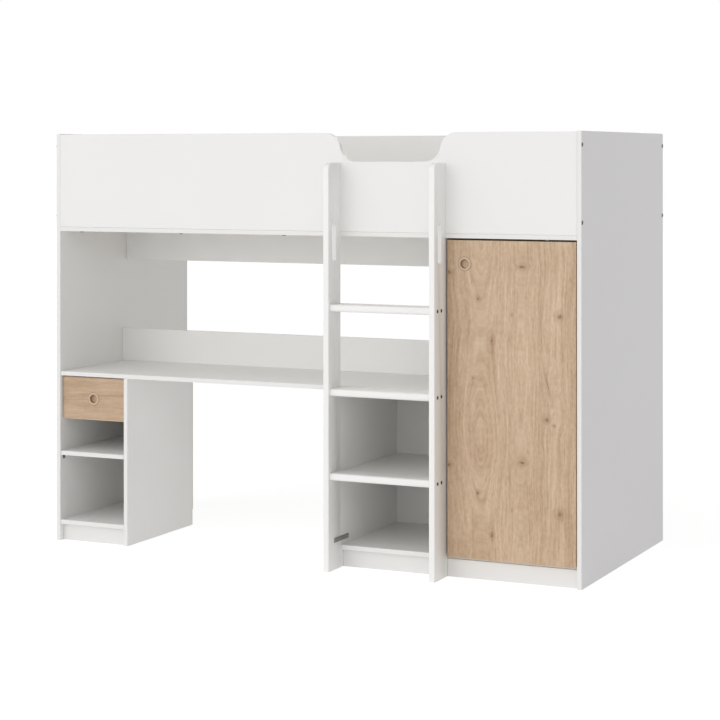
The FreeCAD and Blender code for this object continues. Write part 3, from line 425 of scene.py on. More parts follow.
@dataclass(frozen=True)
class OakFoil(Finish):
    """Printed oak: two planks whose rings arch about their hearts, with streaks and knots."""

    grain: Grain = Grain.UPRIGHT
    knots: tuple[Knot, ...] = ()
    hearts: tuple[Heart, Heart] = (Heart(0.673, 0.492, 0.050), Heart(0.817, 0.694, 0.020))
    seam: float = 0.7814
    repeat: Pair = (0.45, 1.1065)
    light: Colour = (0.712, 0.549, 0.392)
    middle: Colour = (0.566, 0.410, 0.276)
    dark: Colour = (0.405, 0.268, 0.164)
    stops: Triple = (0.10, 0.50, 0.90)
    shift: Triple = (0.0, 0.0, 0.0)
    sides_apart: float = 7.0
    planks_apart: float = 3.7
    sway: Marks = Marks(1.0, 2.4, 0.05)
    wave: Marks = Marks(20.0, 5.0)
    wobble: float = 0.008
    ring: float = 0.0068
    ring_depth: float = 0.11
    late_range: Pair = (0.3, 1.0)
    late: Marks = Marks(14.0, 5.0)
    # The darker sides: partly print tone, partly painted shade.
    rim: SideShade = SideShade(0.772, 0.165, 0.10)
    streaks: tuple[Marks, ...] = (
        Marks(9.0, 0.7, 0.20), Marks(24.0, 1.2, 0.32), Marks(60.0, 2.0, 0.36),
        Marks(130.0, 3.6, 0.64), Marks(6.0, 5.0, 0.30), Marks(150.0, 14.0, 0.50),
        Marks(160.0, 60.0, 0.50))
    pores: Marks = Marks(900.0, 22.0, 0.28)
    pore_range: Pair = (0.58, 0.78)
    pore_relief: Pair = (0.10, 0.0003)
    gloss_range: Pair = (0.3, 0.75)
    roughness: Pair = (0.46, 0.60)
    gloss: float = 0.35
    knot_colour: Colour = (0.250, 0.130, 0.062)
    knot_edge: Marks = Marks(160.0, 90.0, 1.6)
    knot_core: Pair = (0.2, 1.3)
    knot_halo: Pair = (0.6, 4.0)
    knot_near: Pair = (0.4, 4.5)
    knot_pinch: float = 0.40
    halo_depth: float = 0.42

    def axes(self, graph: Graph) -> tuple[Socket, Socket]:
        """Find the distances across and along the grain.

        Args:
            graph: The material's nodes.

        Returns:
            Both distances.
        """
        aside, _, height = graph.parts()
        return (aside, height) if self.grain is Grain.UPRIGHT else (height, aside)

    def flat(self, graph: Graph, *parts: object) -> Socket:
        """A vector from two or three distances."""
        return graph.node("ShaderNodeCombineXYZ", dict(enumerate(parts)))

    def layer(self, graph: Graph, place: Sequence[object], marks: Marks) -> Socket:
        """Lay one layer of soft marks.

        Args:
            graph: The material's nodes.
            place: The distances across and along, and one that sets a heart's sides apart.
            marks: How many marks there are.

        Returns:
            The marks, about 0.5.
        """
        scale = (marks.wide, marks.long, self.sides_apart)
        return graph.noise(graph.mapped(self.flat(graph, *place), scale, self.shift), 1.0)

    def rings(self, graph: Graph, across: Socket, along: Socket) -> Socket:
        """Find the distance from the plank's heart, which is even along each line of the grain.

        Args:
            graph: The material's nodes.
            across: The distance across the grain.
            along: The distance along it.

        Returns:
            The distance.
        """
        left, right = self.hearts
        plank = graph.sums("GREATER_THAN", across, self.seam)
        heart = graph.sums("MULTIPLY_ADD", plank, right.across - left.across, left.across)
        eye = graph.sums("MULTIPLY_ADD", plank, right.eye - left.eye, left.eye)
        cut = graph.sums("MULTIPLY_ADD", plank, right.depth - left.depth, left.depth)
        turn = graph.sums("MULTIPLY", graph.sums("SUBTRACT", along, eye),
                          math.pi / (self.repeat[1] - self.repeat[0]))
        depth = graph.sums("MULTIPLY", graph.sums("SINE", turn), cut)
        sway = self.layer(graph, (graph.sums("MULTIPLY", plank, self.planks_apart), along),
                          self.sway)
        aside = graph.sums("MULTIPLY_ADD", sway, self.sway.weight,
                           graph.sums("SUBTRACT", across, heart))
        aside = graph.sums("SUBTRACT", aside, self.sway.weight / 2)
        wave = self.layer(graph, (across, along), self.wave)
        return graph.sums("MULTIPLY_ADD", wave, self.wobble,
                          graph.length(self.flat(graph, aside, depth)))

    def knotted(self, graph: Graph, across: Socket, along: Socket,
                line: Socket) -> tuple[Socket, Socket, Socket]:
        """Bend the grain round the knots.

        Args:
            graph: The material's nodes.
            across: The distance across the grain.
            along: The distance along it.
            line: The distance from the plank's heart.

        Returns:
            The bent distance, and how much of a knot and of its halo shows.
        """
        wrapped = graph.sums("WRAP", along, self.repeat[1], self.repeat[0])
        rough = graph.sums("MULTIPLY_ADD", self.layer(graph, (across, along), self.knot_edge),
                           self.knot_edge.weight, -self.knot_edge.weight / 2)
        mark, halo = None, None
        for knot in self.knots:
            ahead = graph.sums("SUBTRACT", wrapped, knot.along)
            aside = graph.sums("MULTIPLY_ADD", ahead, -knot.lean,
                               graph.sums("SUBTRACT", across, knot.across))
            spot = self.flat(graph, graph.sums("DIVIDE", aside, knot.wide),
                             graph.sums("DIVIDE", ahead, knot.tall))
            reach = graph.sums("ADD", graph.length(spot), rough)
            core, glow, near = (graph.spread(reach, limits, (1.0, 0.0), True)
                                for limits in (self.knot_core, self.knot_halo, self.knot_near))
            core = graph.sums("MULTIPLY", core, knot.depth)
            glow = graph.sums("MULTIPLY", glow, knot.depth)
            bend = graph.sums("MULTIPLY_ADD", aside, self.knot_pinch,
                              graph.sums("MULTIPLY", ahead, knot.lean))
            line = graph.sums("SUBTRACT", line, graph.sums("MULTIPLY", near, bend))
            mark = core if mark is None else graph.sums("MAXIMUM", mark, core)
            halo = glow if halo is None else graph.sums("MAXIMUM", halo, glow)
        return line, mark, halo

    def tone(self, graph: Graph, across: Socket, along: Socket, line: Socket) -> Socket:
        """Mix the streaks, the rings and the painted shade at the sides.

        Args:
            graph: The material's nodes.
            across: The distance across the grain.
            along: The distance along it.
            line: The distance from the plank's heart.

        Returns:
            How light the print is, about 0.5.
        """
        tone = (1.0 - sum(marks.weight for marks in self.streaks)) / 2
        for marks in self.streaks:
            streak = self.layer(graph, (line, along, across), marks)
            tone = graph.sums("MULTIPLY_ADD", streak, marks.weight, tone)
        ring = graph.sums("SINE", graph.sums("MULTIPLY", line, math.tau / self.ring))
        late = graph.sums("MULTIPLY", graph.spread(ring, self.late_range, WHOLE_RANGE),
                          self.layer(graph, (across, along), self.late))
        tone = graph.sums("MULTIPLY_ADD", late, -self.ring_depth, tone)
        # Painted shade, partly print tone: the oak darkens towards both sides of the front.
        aside = graph.sums("ABSOLUTE", graph.sums("SUBTRACT", across, self.rim.middle))
        shadow = graph.spread(aside, (self.rim.start, self.rim.start + self.rim.run),
                              (0.0, self.rim.depth))
        return graph.sums("SUBTRACT", tone, shadow)

    def paint(self, graph: Graph) -> None:
        """Lay out the finish's nodes.

        Args:
            graph: The material's nodes.
        """
        across, along = self.axes(graph)
        line = self.rings(graph, across, along)
        if self.knots:
            line, mark, halo = self.knotted(graph, across, along, line)
        tone = self.tone(graph, across, along, line)
        pores = self.layer(graph, (line, along), self.pores)
        colour = graph.ramp(tone, self.stops, (self.dark, self.middle, self.light))
        show = graph.spread(pores, self.pore_range, (0.0, self.pores.weight))
        colour = graph.blend(show, colour, self.dark)
        if self.knots:
            shade = tuple((a + b) / 2 for a, b in zip(self.dark, self.knot_colour))
            colour = graph.blend(graph.sums("MULTIPLY", halo, self.halo_depth), colour, shade)
            colour = graph.blend(mark, colour, self.knot_colour)
        graph.shade(Base_Color=colour, Specular_IOR_Level=self.gloss,
                    Roughness=graph.spread(pores, self.gloss_range, self.roughness))
        graph.bump(pores, self.pore_relief)


@dataclass(frozen=True)
class PlanedTimber(Finish):
    """Planed softwood with its grain along one of the bed's axes."""

    stretch: Triple = (60.0, 2.0, 60.0)
    light: Colour = (0.80, 0.745, 0.655)
    dark: Colour = (0.68, 0.605, 0.495)
    stops: Pair = (0.3, 0.62)
    fineness: float = 8.0
    fine_share: float = 0.3
    roughness: Pair = (0.55, 0.7)
    relief: Pair = (0.15, 0.0004)

    def paint(self, graph: Graph) -> None:
        """Lay out the finish's nodes.

        Args:
            graph: The material's nodes.
        """
        place = graph.coords()
        grain = graph.noise(graph.mapped(place, self.stretch), 1.0,
                            detail=4.0, roughness=0.6, distortion=0.6)
        finer = tuple(self.fineness * part for part in self.stretch)
        fine = graph.noise(graph.mapped(place, finer), 1.0)
        tone = graph.weigh(fine, self.fine_share, grain)
        graph.shade(Base_Color=graph.ramp(tone, self.stops, (self.dark, self.light)),
                    Roughness=graph.spread(fine, NOISE_RANGE, self.roughness))
        graph.bump(tone, self.relief)


@dataclass(frozen=True)
class Metal(Finish):
    """Plated or blackened metal with fine brush lines and small smudges."""

    light: Colour = (0.70, 0.70, 0.71)
    dark: Colour = (0.58, 0.58, 0.60)
    roughness: Pair = (0.22, 0.38)
    metallic: float = 1.0
    brush: Triple = (30.0, 400.0, 900.0)
    brush_scale: float = 3.0
    smudge_scale: float = 160.0
    wear_range: Pair = (0.1, 0.4)
    relief: Pair = (0.05, 0.0001)

    def paint(self, graph: Graph) -> None:
        """Lay out the finish's nodes.

        Args:
            graph: The material's nodes.
        """
        place = graph.coords()
        lines = graph.noise(graph.mapped(place, self.brush), self.brush_scale)
        smudge = graph.noise(place, self.smudge_scale, detail=3.0)
        wear = graph.sums("MULTIPLY", lines, smudge)
        graph.shade(Base_Color=graph.blend(smudge, self.dark, self.light), Metallic=self.metallic,
                    Roughness=graph.spread(wear, self.wear_range, self.roughness))
        graph.bump(lines, self.relief)


@dataclass(frozen=True)
class MouldedPlastic(Finish):
    """Moulded plastic with a light spark texture."""

    light: Colour = (0.80, 0.80, 0.79)
    dark: Colour = (0.74, 0.74, 0.73)
    roughness: Pair = (0.40, 0.52)
    spark_scale: float = 1500.0
    cloud_scale: float = 60.0
    relief: Pair = (0.12, 0.0001)

    def paint(self, graph: Graph) -> None:
        """Lay out the finish's nodes.

        Args:
            graph: The material's nodes.
        """
        place = graph.coords()
        spark = graph.noise(place, self.spark_scale, roughness=0.7)
        clouds = graph.noise(place, self.cloud_scale, detail=3.0)
        graph.shade(Base_Color=graph.blend(clouds, self.dark, self.light),
                    Roughness=graph.spread(spark, NOISE_RANGE, self.roughness))
        graph.bump(spark, self.relief)


@dataclass(frozen=True)
class WovenTape(Finish):
    """Cotton tape with a plain weave."""

    light: Colour = (0.80, 0.78, 0.72)
    dark: Colour = (0.58, 0.56, 0.50)
    threads: float = 4200.0
    fuzz_scale: float = 350.0
    fuzz_share: float = 0.4
    roughness: float = 0.9
    sheen: float = 0.2
    relief: Pair = (0.3, 0.0004)

    def paint(self, graph: Graph) -> None:
        """Lay out the finish's nodes.

        Args:
            graph: The material's nodes.
        """
        warp, weft = (graph.sums("SINE", graph.sums("MULTIPLY", part, self.threads))
                      for part in graph.parts()[:2])
        weave = graph.spread(graph.sums("MULTIPLY", warp, weft), (-1.0, 1.0), WHOLE_RANGE)
        fuzz = graph.noise(graph.coords(), self.fuzz_scale, detail=3.0)
        tone = graph.weigh(fuzz, self.fuzz_share, weave)
        graph.shade(Base_Color=graph.blend(tone, self.dark, self.light),
                    Roughness=self.roughness, Sheen_Weight=self.sheen)
        graph.bump(weave, self.relief)


@dataclass(frozen=True)
class BoardCore(Finish):
    """The pressed chips that show inside a drilled hole or a raw edge."""

    light: Colour = (0.62, 0.47, 0.30)
    dark: Colour = (0.36, 0.24, 0.14)
    chip_scale: float = 420.0
    chip_stretch: Triple = (1.0, 1.6, 2.2)
    roughness: float = 0.85
    relief: Pair = (0.35, 0.0005)

    def paint(self, graph: Graph) -> None:
        """Lay out the finish's nodes.

        Args:
            graph: The material's nodes.
        """
        chips = graph.cells(graph.mapped(graph.coords(), self.chip_stretch), self.chip_scale)
        value = graph.node("ShaderNodeSeparateColor", {0: chips})
        graph.shade(Base_Color=graph.blend(value, self.dark, self.light),
                    Roughness=self.roughness)
        graph.bump(value, self.relief)


FACE = SmoothBoard("white melamine face")
# Painted shade: a cooler, darker white for the end panels' outer faces, for the dimmer light on
# that side.
OUTSIDE_PAINTED_SHADE = SmoothBoard("painted shade melamine face", (0.836, 0.820, 0.826), (0.808, 0.792, 0.798))
# Painted shade: a darker white for the plinths, which sit under the boards that overhang them.
PLINTH_PAINTED_SHADE = SmoothBoard("plinth melamine with painted shade", (0.800, 0.793, 0.779), (0.774, 0.767, 0.753))
BAND = SmoothBoard("white edge band", (0.826, 0.819, 0.804), (0.806, 0.799, 0.784),
                   roughness=(0.30, 0.38), pearl=0.03, pearl_scale=420.0)
LACQUER = SmoothBoard("white lacquer", (0.905, 0.898, 0.883), (0.885, 0.878, 0.863),
                      roughness=(0.33, 0.42), pearl=0.05, pearl_scale=260.0)
THIN = SmoothBoard("printed fibreboard", (0.845, 0.838, 0.820), (0.805, 0.798, 0.780),
                   roughness=(0.50, 0.62), pearl=0.12, pearl_scale=520.0)
CORE = BoardCore("pressed chips")
WHITE_BOARD = (FACE, BAND, CORE)
DOOR_KNOTS = (
    Knot(0.8207, 1.0644, 0.0100, 0.0048, 0.95),
    Knot(0.6625, 0.9525, 0.0046, 0.0058, 0.92),
    Knot(0.9547, 0.9014, 0.0090, 0.0085, 0.80),
    Knot(0.7132, 0.8124, 0.0048, 0.0068, 0.88),
    Knot(0.7140, 0.8050, 0.0032, 0.0330, 0.42),
    Knot(0.7850, 0.9024, 0.0035, 0.0045, 0.45),
    Knot(0.6443, 0.6844, 0.0048, 0.0042, 0.50),
    Knot(0.9091, 0.5569, 0.0072, 0.0066, 0.92),
    Knot(0.9337, 0.5384, 0.0032, 0.0032, 0.80),
    Knot(0.5565, 1.0413, 0.0060, 0.0062, 0.85),
    Knot(0.9112, 0.6740, 0.0026, 0.0260, 0.66, -0.245),
    Knot(0.9400, 0.6200, 0.0090, 0.0300, 0.0, -0.25),
    Knot(0.5610, 0.6500, 0.0120, 0.0550, 0.16),
)
# Hearts, a seam and a painted side shade that lie off the front, for plain strips of grain.
BARE = (Heart(0.400, 0.0, 0.010), Heart(0.400, 0.0, 0.010))
NO_SEAM = 2.0
NO_SIDE_SHADE = SideShade(0.0, 2.0, 0.0)
DOOR_OAK = OakFoil("oak door foil", Grain.UPRIGHT, DOOR_KNOTS)
DRAWER_OAK = OakFoil(
    "oak drawer foil", Grain.ACROSS, (), BARE, NO_SEAM, shift=(3.1, 5.7, 2.3), wobble=0.016,
    light=(0.660, 0.498, 0.352), middle=(0.510, 0.362, 0.242), dark=(0.363, 0.236, 0.143),
    rim=NO_SIDE_SHADE, streaks=(Marks(24.0, 1.2, 0.30), Marks(70.0, 3.0, 0.50), Marks(130.0, 6.0, 0.56),
                         Marks(150.0, 16.0, 0.36), Marks(160.0, 60.0, 0.30)))
# Painted light: the oak edge bands are paler than the foil, to offset the shade in the narrow
# gaps beside the fronts.
OAK_BAND_PAINTED_LIGHT = OakFoil(
    "oak edge band with painted light", Grain.UPRIGHT, (), BARE, NO_SEAM, shift=(7.3, 1.9, 4.1), rim=NO_SIDE_SHADE,
    light=(0.88, 0.70, 0.50), middle=(0.80, 0.61, 0.42), dark=(0.70, 0.51, 0.33))
OAK_BAND_ACROSS_PAINTED_LIGHT = replace(OAK_BAND_PAINTED_LIGHT, name="oak drawer edge band with painted light", grain=Grain.ACROSS,
                          shift=(2.3, 8.9, 6.1))
GRIP = MouldedPlastic("oak coloured plastic", (0.615, 0.443, 0.306), (0.555, 0.398, 0.271),
                      roughness=(0.34, 0.44))
# Painted shade: a darker plastic for the inner wall of the cup.
GRIP_WALL_PAINTED_SHADE = MouldedPlastic("shaded cup wall", (0.42, 0.29, 0.19), (0.36, 0.245, 0.16),
                           roughness=(0.40, 0.50))
# Painted shadow: a near-black plastic for the seam round the grip's flange.
GRIP_SEAM_PAINTED_SHADOW = MouldedPlastic("painted shadow seam", (0.17, 0.112, 0.072), (0.13, 0.085, 0.055),
                           roughness=(0.60, 0.70))
SLAT = PlanedTimber("planed slat")
PEG = PlanedTimber("beech dowel", (40.0, 40.0, 40.0), (0.70, 0.50, 0.32), (0.58, 0.40, 0.24))
TAPE = WovenTape("cotton tape")
DARK_STEEL = Metal("dark steel", (0.115, 0.115, 0.12), (0.075, 0.075, 0.08),
                   roughness=(0.34, 0.50), metallic=0.85)
LINK_STEEL = Metal("grey link steel", (0.39, 0.39, 0.383), (0.33, 0.33, 0.323),
                   roughness=(0.40, 0.54), metallic=0.80)
# Painted highlight: a lighter steel for the rib along each link plate.
LINK_RIB_PAINTED_HIGHLIGHT = Metal("link rib with painted highlight", (0.48, 0.48, 0.47), (0.41, 0.41, 0.40),
                 roughness=(0.36, 0.48), metallic=0.80)
ZINC = Metal("zinc plated steel")
DULL_ZINC = Metal("dull zinc", (0.30, 0.30, 0.305), (0.22, 0.22, 0.225),
                  roughness=(0.38, 0.52), metallic=0.9)
CHROME = Metal("bright tube", (0.82, 0.82, 0.83), (0.74, 0.74, 0.76),
               roughness=(0.08, 0.18), brush=(4.0, 700.0, 700.0))
WHITE_PLASTIC = MouldedPlastic("white plastic")
DARK_PLASTIC = MouldedPlastic("dark plastic", (0.07, 0.07, 0.07), (0.045, 0.045, 0.045),
                              roughness=(0.45, 0.6))
CLEAR_RUBBER = MouldedPlastic("soft bumper", (0.74, 0.74, 0.72), (0.66, 0.66, 0.64),
                              roughness=(0.25, 0.35))


@dataclass
class Solid:
    """The corner points of one solid of the model."""

    points: list[Vector]

    @property
    def low(self) -> Vector:
        """The lowest corner of its box."""
        return Vector([min(point[axis] for point in self.points) for axis in AXES])

    @property
    def high(self) -> Vector:
        """The highest corner of its box."""
        return Vector([max(point[axis] for point in self.points) for axis in AXES])

    @property
    def centre(self) -> Vector:
        """The middle of its box."""
        return (self.low + self.high) / 2

    def long_axis(self) -> int:
        """The number of the axis along its longest side."""
        size = self.high - self.low
        return max(AXES, key=lambda axis: size[axis])

    def head_way(self) -> Vector:
        """Find the way that a fastener's widest end looks.

        Returns:
            The direction, along one of the axes.
        """
        axis, middle = self.long_axis(), self.centre
        across = [other for other in AXES if other != axis]
        reach = [math.hypot(*(point[other] - middle[other] for other in across))
                 for point in self.points]
        least = RIM_SHARE * max(reach)
        rim = [point[axis] for point, far in zip(self.points, reach) if far > least]
        way = Vector((0.0, 0.0, 0.0))
        way[axis] = 1.0 if sum(rim) / len(rim) > middle[axis] else -1.0
        return way


def solids(node: bpy.types.Object) -> list[Solid]:
    """Split a copy of a model node into its separate solids.

    Args:
        node: The node's object.

    Returns:
        One entry for each solid, in order of place.
    """
    bm = bmesh.new()
    bm.from_mesh(node.data)
    bmesh.ops.remove_doubles(bm, verts=bm.verts[:], dist=SAME_POINT)
    waiting = set(bm.verts)
    found = []
    while waiting:
        front = [waiting.pop()]
        points = []
        while front:
            vert = front.pop()
            points.append(vert.co.copy())
            near = {edge.other_vert(vert) for edge in vert.link_edges} & waiting
            waiting -= near
            front.extend(near)
        found.append(Solid(points))
    bm.free()
    return sorted(found, key=lambda solid: tuple(round(part, PLACE_DIGITS)
                                                 for part in solid.centre))


class Pen:
    """Draws a closed outline in a mesh, by extruding and spinning its tip."""

    def __init__(self, bm: bmesh.types.BMesh, start: Pair) -> None:
        """Put the pen down.

        Args:
            bm: The mesh to draw in.
            start: The first point, in the drawing's own x and y.
        """
        self.bm = bm
        self.first = bmesh.ops.create_vert(bm, co=(*start, 0.0))["vert"][0]
        self.tip = self.first

    def line(self, *points: Pair) -> "Pen":
        """Draw straight lines.

        Args:
            *points: The points that they go through.

        Returns:
            The pen.
        """
        for point in points:
            made = bmesh.ops.extrude_vert_indiv(self.bm, verts=[self.tip])
            self.tip = made["verts"][0]
            self.tip.co = (*point, 0.0)
        return self

    def arc(self, centre: Pair, degrees: float, facets: int = 12) -> "Pen":
        """Draw an arc.

        Args:
            centre: Its centre.
            degrees: Its angle, anticlockwise where it is positive.
            facets: How many flat parts it has.

        Returns:
            The pen.
        """
        made = bmesh.ops.spin(self.bm, geom=[self.tip], cent=(*centre, 0.0), axis=UPWARD,
                              angle=math.radians(degrees), steps=facets)
        self.tip = pick(made["geom_last"], BMVert)[0]
        return self

    def close(self) -> None:
        """Join the tip to the start, or merge them where they meet."""
        if (self.tip.co - self.first.co).length < SAME_POINT:
            bmesh.ops.pointmerge(self.bm, verts=[self.tip, self.first], merge_co=self.first.co)
        else:
            bmesh.ops.contextual_create(self.bm, geom=[self.tip, self.first])


class Workpiece:
    """A mesh in the making, shaped with bmesh operators."""

    def __init__(self) -> None:
        """Start with nothing."""
        self.bm = bmesh.new()

    def slab(self, low: Vector, high: Vector) -> "Workpiece":
        """Add a block.

        Args:
            low: Its lowest corner.
            high: Its highest corner.

        Returns:
            The workpiece.
        """
        made = bmesh.ops.create_cube(self.bm, size=1.0)["verts"]
        bmesh.ops.scale(self.bm, vec=high - low, verts=made)
        bmesh.ops.translate(self.bm, vec=(low + high) / 2, verts=made)
        return self

    def slabs(self, found: Iterable[Solid]) -> "Workpiece":
        """Add a block for the box of each solid.

        Args:
            found: The solids.

        Returns:
            The workpiece.
        """
        for solid in found:
            self.slab(solid.low, solid.high)
        return self

    def pen(self, start: Pair) -> Pen:
        """Start an outline."""
        return Pen(self.bm, start)

    def fill(self) -> None:
        """Fill the outlines, with holes where one lies in another."""
        bmesh.ops.triangle_fill(self.bm, edges=self.bm.edges[:], use_beauty=True, normal=UPWARD)

    def pad(self, plane: Plane, origin: Vector, thickness: float) -> "Workpiece":
        """Fill the outlines and give them thickness.

        Args:
            plane: The plane that the outlines were drawn for.
            origin: Where the drawing's own origin goes.
            thickness: How far they are extruded along the drawing's own z.

        Returns:
            The workpiece.
        """
        self.fill()
        bmesh.ops.dissolve_limit(self.bm, angle_limit=FLAT_ANGLE, verts=self.bm.verts[:],
                                 edges=[edge for edge in self.bm.edges if edge.is_manifold])
        made = bmesh.ops.extrude_face_region(self.bm, geom=self.bm.faces[:])
        bmesh.ops.translate(self.bm, vec=UPWARD * thickness, verts=pick(made["geom"], BMVert))
        self.move(Matrix.Translation(origin) @ plane.turn())
        return self.outwards()

    def turned(self, profile: Sequence[Pair], facets: int) -> "Workpiece":
        """Turn a profile about the z axis.

        Args:
            profile: Pairs of radius and height.
            facets: How many flat parts it has round the axis.

        Returns:
            The workpiece.
        """
        pen = self.pen((profile[0][0], 0.0))
        pen.line(*((radius, 0.0) for radius, _ in profile[1:]))
        for vert, (radius, height) in zip(self.bm.verts[:], profile):
            vert.co = (radius, 0.0, height)
        bmesh.ops.spin(self.bm, geom=self.bm.verts[:] + self.bm.edges[:], cent=(0.0, 0.0, 0.0),
                       axis=UPWARD, angle=math.tau, steps=facets, use_merge=True)
        bmesh.ops.remove_doubles(self.bm, verts=self.bm.verts[:], dist=SAME_POINT)
        return self.outwards()

    def outwards(self) -> "Workpiece":
        """Make all the faces look outwards."""
        bmesh.ops.recalc_face_normals(self.bm, faces=self.bm.faces[:])
        return self

    def move(self, place: Matrix) -> "Workpiece":
        """Put the workpiece somewhere else."""
        bmesh.ops.transform(self.bm, matrix=place, verts=self.bm.verts[:])
        return self

    def add(self, other: "Workpiece", place: Matrix) -> "Workpiece":
        """Add a copy of another workpiece.

        Args:
            other: The one to copy.
            place: Where the copy goes.

        Returns:
            The workpiece.
        """
        mesh = bpy.data.meshes.new("copy")
        other.bm.to_mesh(mesh)
        mesh.transform(place)
        self.bm.from_mesh(mesh)
        bpy.data.meshes.remove(mesh)
        return self

    def soften(self, width: float, segments: int = 2) -> "Workpiece":
        """Round the sharp edges.

        Args:
            width: How far the rounding reaches from the edge.
            segments: The number of facets in it.

        Returns:
            The workpiece.
        """
        edges = [edge for edge in self.bm.edges
                 if edge.is_manifold and edge.calc_face_angle() > SHARP_ANGLE]
        bmesh.ops.bevel(self.bm, geom=edges, offset=width, offset_type="OFFSET", affect="EDGES",
                        segments=segments, profile=0.5, material=-1, clamp_overlap=True,
                        loop_slide=True)
        return self

    def band(self, thin: int) -> "Workpiece":
        """Give the narrow sides the second finish.

        Args:
            thin: The number of the axis through the board.

        Returns:
            The workpiece.
        """
        for face in self.bm.faces:
            broad = abs(face.normal[thin]) > FACING
            face.material_index = Coat.FIRST if broad else Coat.SECOND
        return self

    def shade_side(self, outward: Vector) -> "Workpiece":
        """Give the third finish, a painted shade, to one side.

        Args:
            outward: The way that the side looks.

        Returns:
            The workpiece.
        """
        for face in self.bm.faces:
            if face.normal.dot(outward) > FACING:
                face.material_index = Coat.THIRD
        return self

    def cut(self, place: Vector, way: Vector) -> None:
        """Cut the faces along a plane, and keep both sides of it."""
        everything = self.bm.verts[:] + self.bm.edges[:] + self.bm.faces[:]
        bmesh.ops.bisect_plane(self.bm, geom=everything, dist=SAME_POINT,
                               plane_co=place, plane_no=way)

    def cell(self, centre: Vector, outward: Vector, side: float) -> list[BMFace]:
        """Cut a square out of a flat face.

        Args:
            centre: The middle of the square.
            outward: The way that the face looks, along one of the axes.
            side: Half the square's side.

        Returns:
            The faces in the square.
        """
        across = [Vector(unit) for unit in Matrix.Identity(3)
                  if not round(Vector(unit).dot(outward))]
        for axis in across:
            for sign in (-1.0, 1.0):
                self.cut(centre + axis * sign * side, axis)
        found = []
        for face in self.bm.faces:
            away = face.calc_center_median() - centre
            level = face.normal.dot(outward) > SQUARE and abs(away.dot(outward)) < SAME_PLANE
            if level and all(abs(away.dot(axis)) < side for axis in across):
                found.append(face)
        return found

    def mouth(self, centre: Vector, outward: Vector, radius: float) -> list[BMEdge]:
        """Open a round mouth in a flat face.

        Args:
            centre: The middle of the mouth.
            outward: The way that the face looks.
            radius: The mouth's radius.

        Returns:
            The edges of its rim.
        """
        faces = self.cell(centre, outward, radius * MOUTH_MARGIN)
        edges = [edge for edge in {edge for face in faces for edge in face.edges}
                 if sum(face in faces for face in edge.link_faces) == 1]
        index = faces[0].material_index
        bmesh.ops.delete(self.bm, geom=faces, context="FACES")
        place = Matrix.Translation(centre) @ turn_to(outward)
        ring = bmesh.ops.create_circle(self.bm, cap_ends=False, segments=MOUTH_FACETS,
                                       radius=radius, matrix=place)["verts"]
        rim = list({edge for vert in ring for edge in vert.link_edges})
        made = bmesh.ops.bridge_loops(self.bm, edges=edges + rim)
        for face in made["faces"]:
            face.material_index = index
        return rim

    def sink(self, rim: Sequence[BMEdge], way: Vector) -> list[BMFace]:
        """Draw a wall from a rim and close its far end.

        Args:
            rim: The edges of the rim.
            way: How far the wall goes, and where.

        Returns:
            The faces of the wall and of the floor.
        """
        grown = bmesh.ops.extrude_edge_only(self.bm, edges=rim)["geom"]
        ends = pick(grown, BMVert)
        bmesh.ops.translate(self.bm, vec=way, verts=ends)
        loop = [edge for edge in pick(grown, BMEdge) if all(vert in ends for vert in edge.verts)]
        walls = pick(grown, BMFace)
        return walls + bmesh.ops.contextual_create(self.bm, geom=loop)["faces"]

    def drill(self, centre: Vector, outward: Vector, radius: float, depth: float,
              through: bool = False, index: int = Coat.THIRD) -> "Workpiece":
        """Drill a round hole into a flat face.

        Args:
            centre: The middle of the hole's mouth.
            outward: The way that the face looks.
            radius: The hole's radius.
            depth: Its depth, or the board's thickness where it goes through.
            through: Whether it comes out at the other side.
            index: The number of the finish on its wall.

        Returns:
            The workpiece.
        """
        rim = self.mouth(centre, outward, radius)
        if through:
            far = self.mouth(centre - outward * depth, -outward, radius)
            made = bmesh.ops.bridge_loops(self.bm, edges=rim + far)["faces"]
        else:
            made = self.sink(rim, outward * -depth)
        for face in made:
            face.material_index = index
        return self.outwards()

    def finish(self, name: str, body: Body, slot: str, finishes: Sequence[Finish],
               nodes: Iterable[str], smooth: float | None = None) -> None:
        """Make the object, dress it and put it on its body.

        Args:
            name: The piece's name.
            body: What it rides on.
            slot: The record's material slot, which is not used.
            finishes: Its finishes, in the order of the faces' numbers.
            nodes: The model nodes that it stands for.
            smooth: The angle in degrees up to which faces blend, or nothing for flat faces.
        """
        mesh = bpy.data.meshes.new(name)
        self.bm.to_mesh(mesh)
        self.bm.free()
        for finish in finishes:
            mesh.materials.append(finish.material())
        if smooth is not None:
            mesh.shade_smooth()
            mesh.set_sharp_from_angle(angle=math.radians(smooth))
        piece = bpy.data.objects.new(name, mesh)
        bpy.context.scene.collection.objects.link(piece)
        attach(piece, body.value)
        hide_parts(*nodes)
        LOG.info("%s: %d faces on %s", name, len(mesh.polygons), body.value)


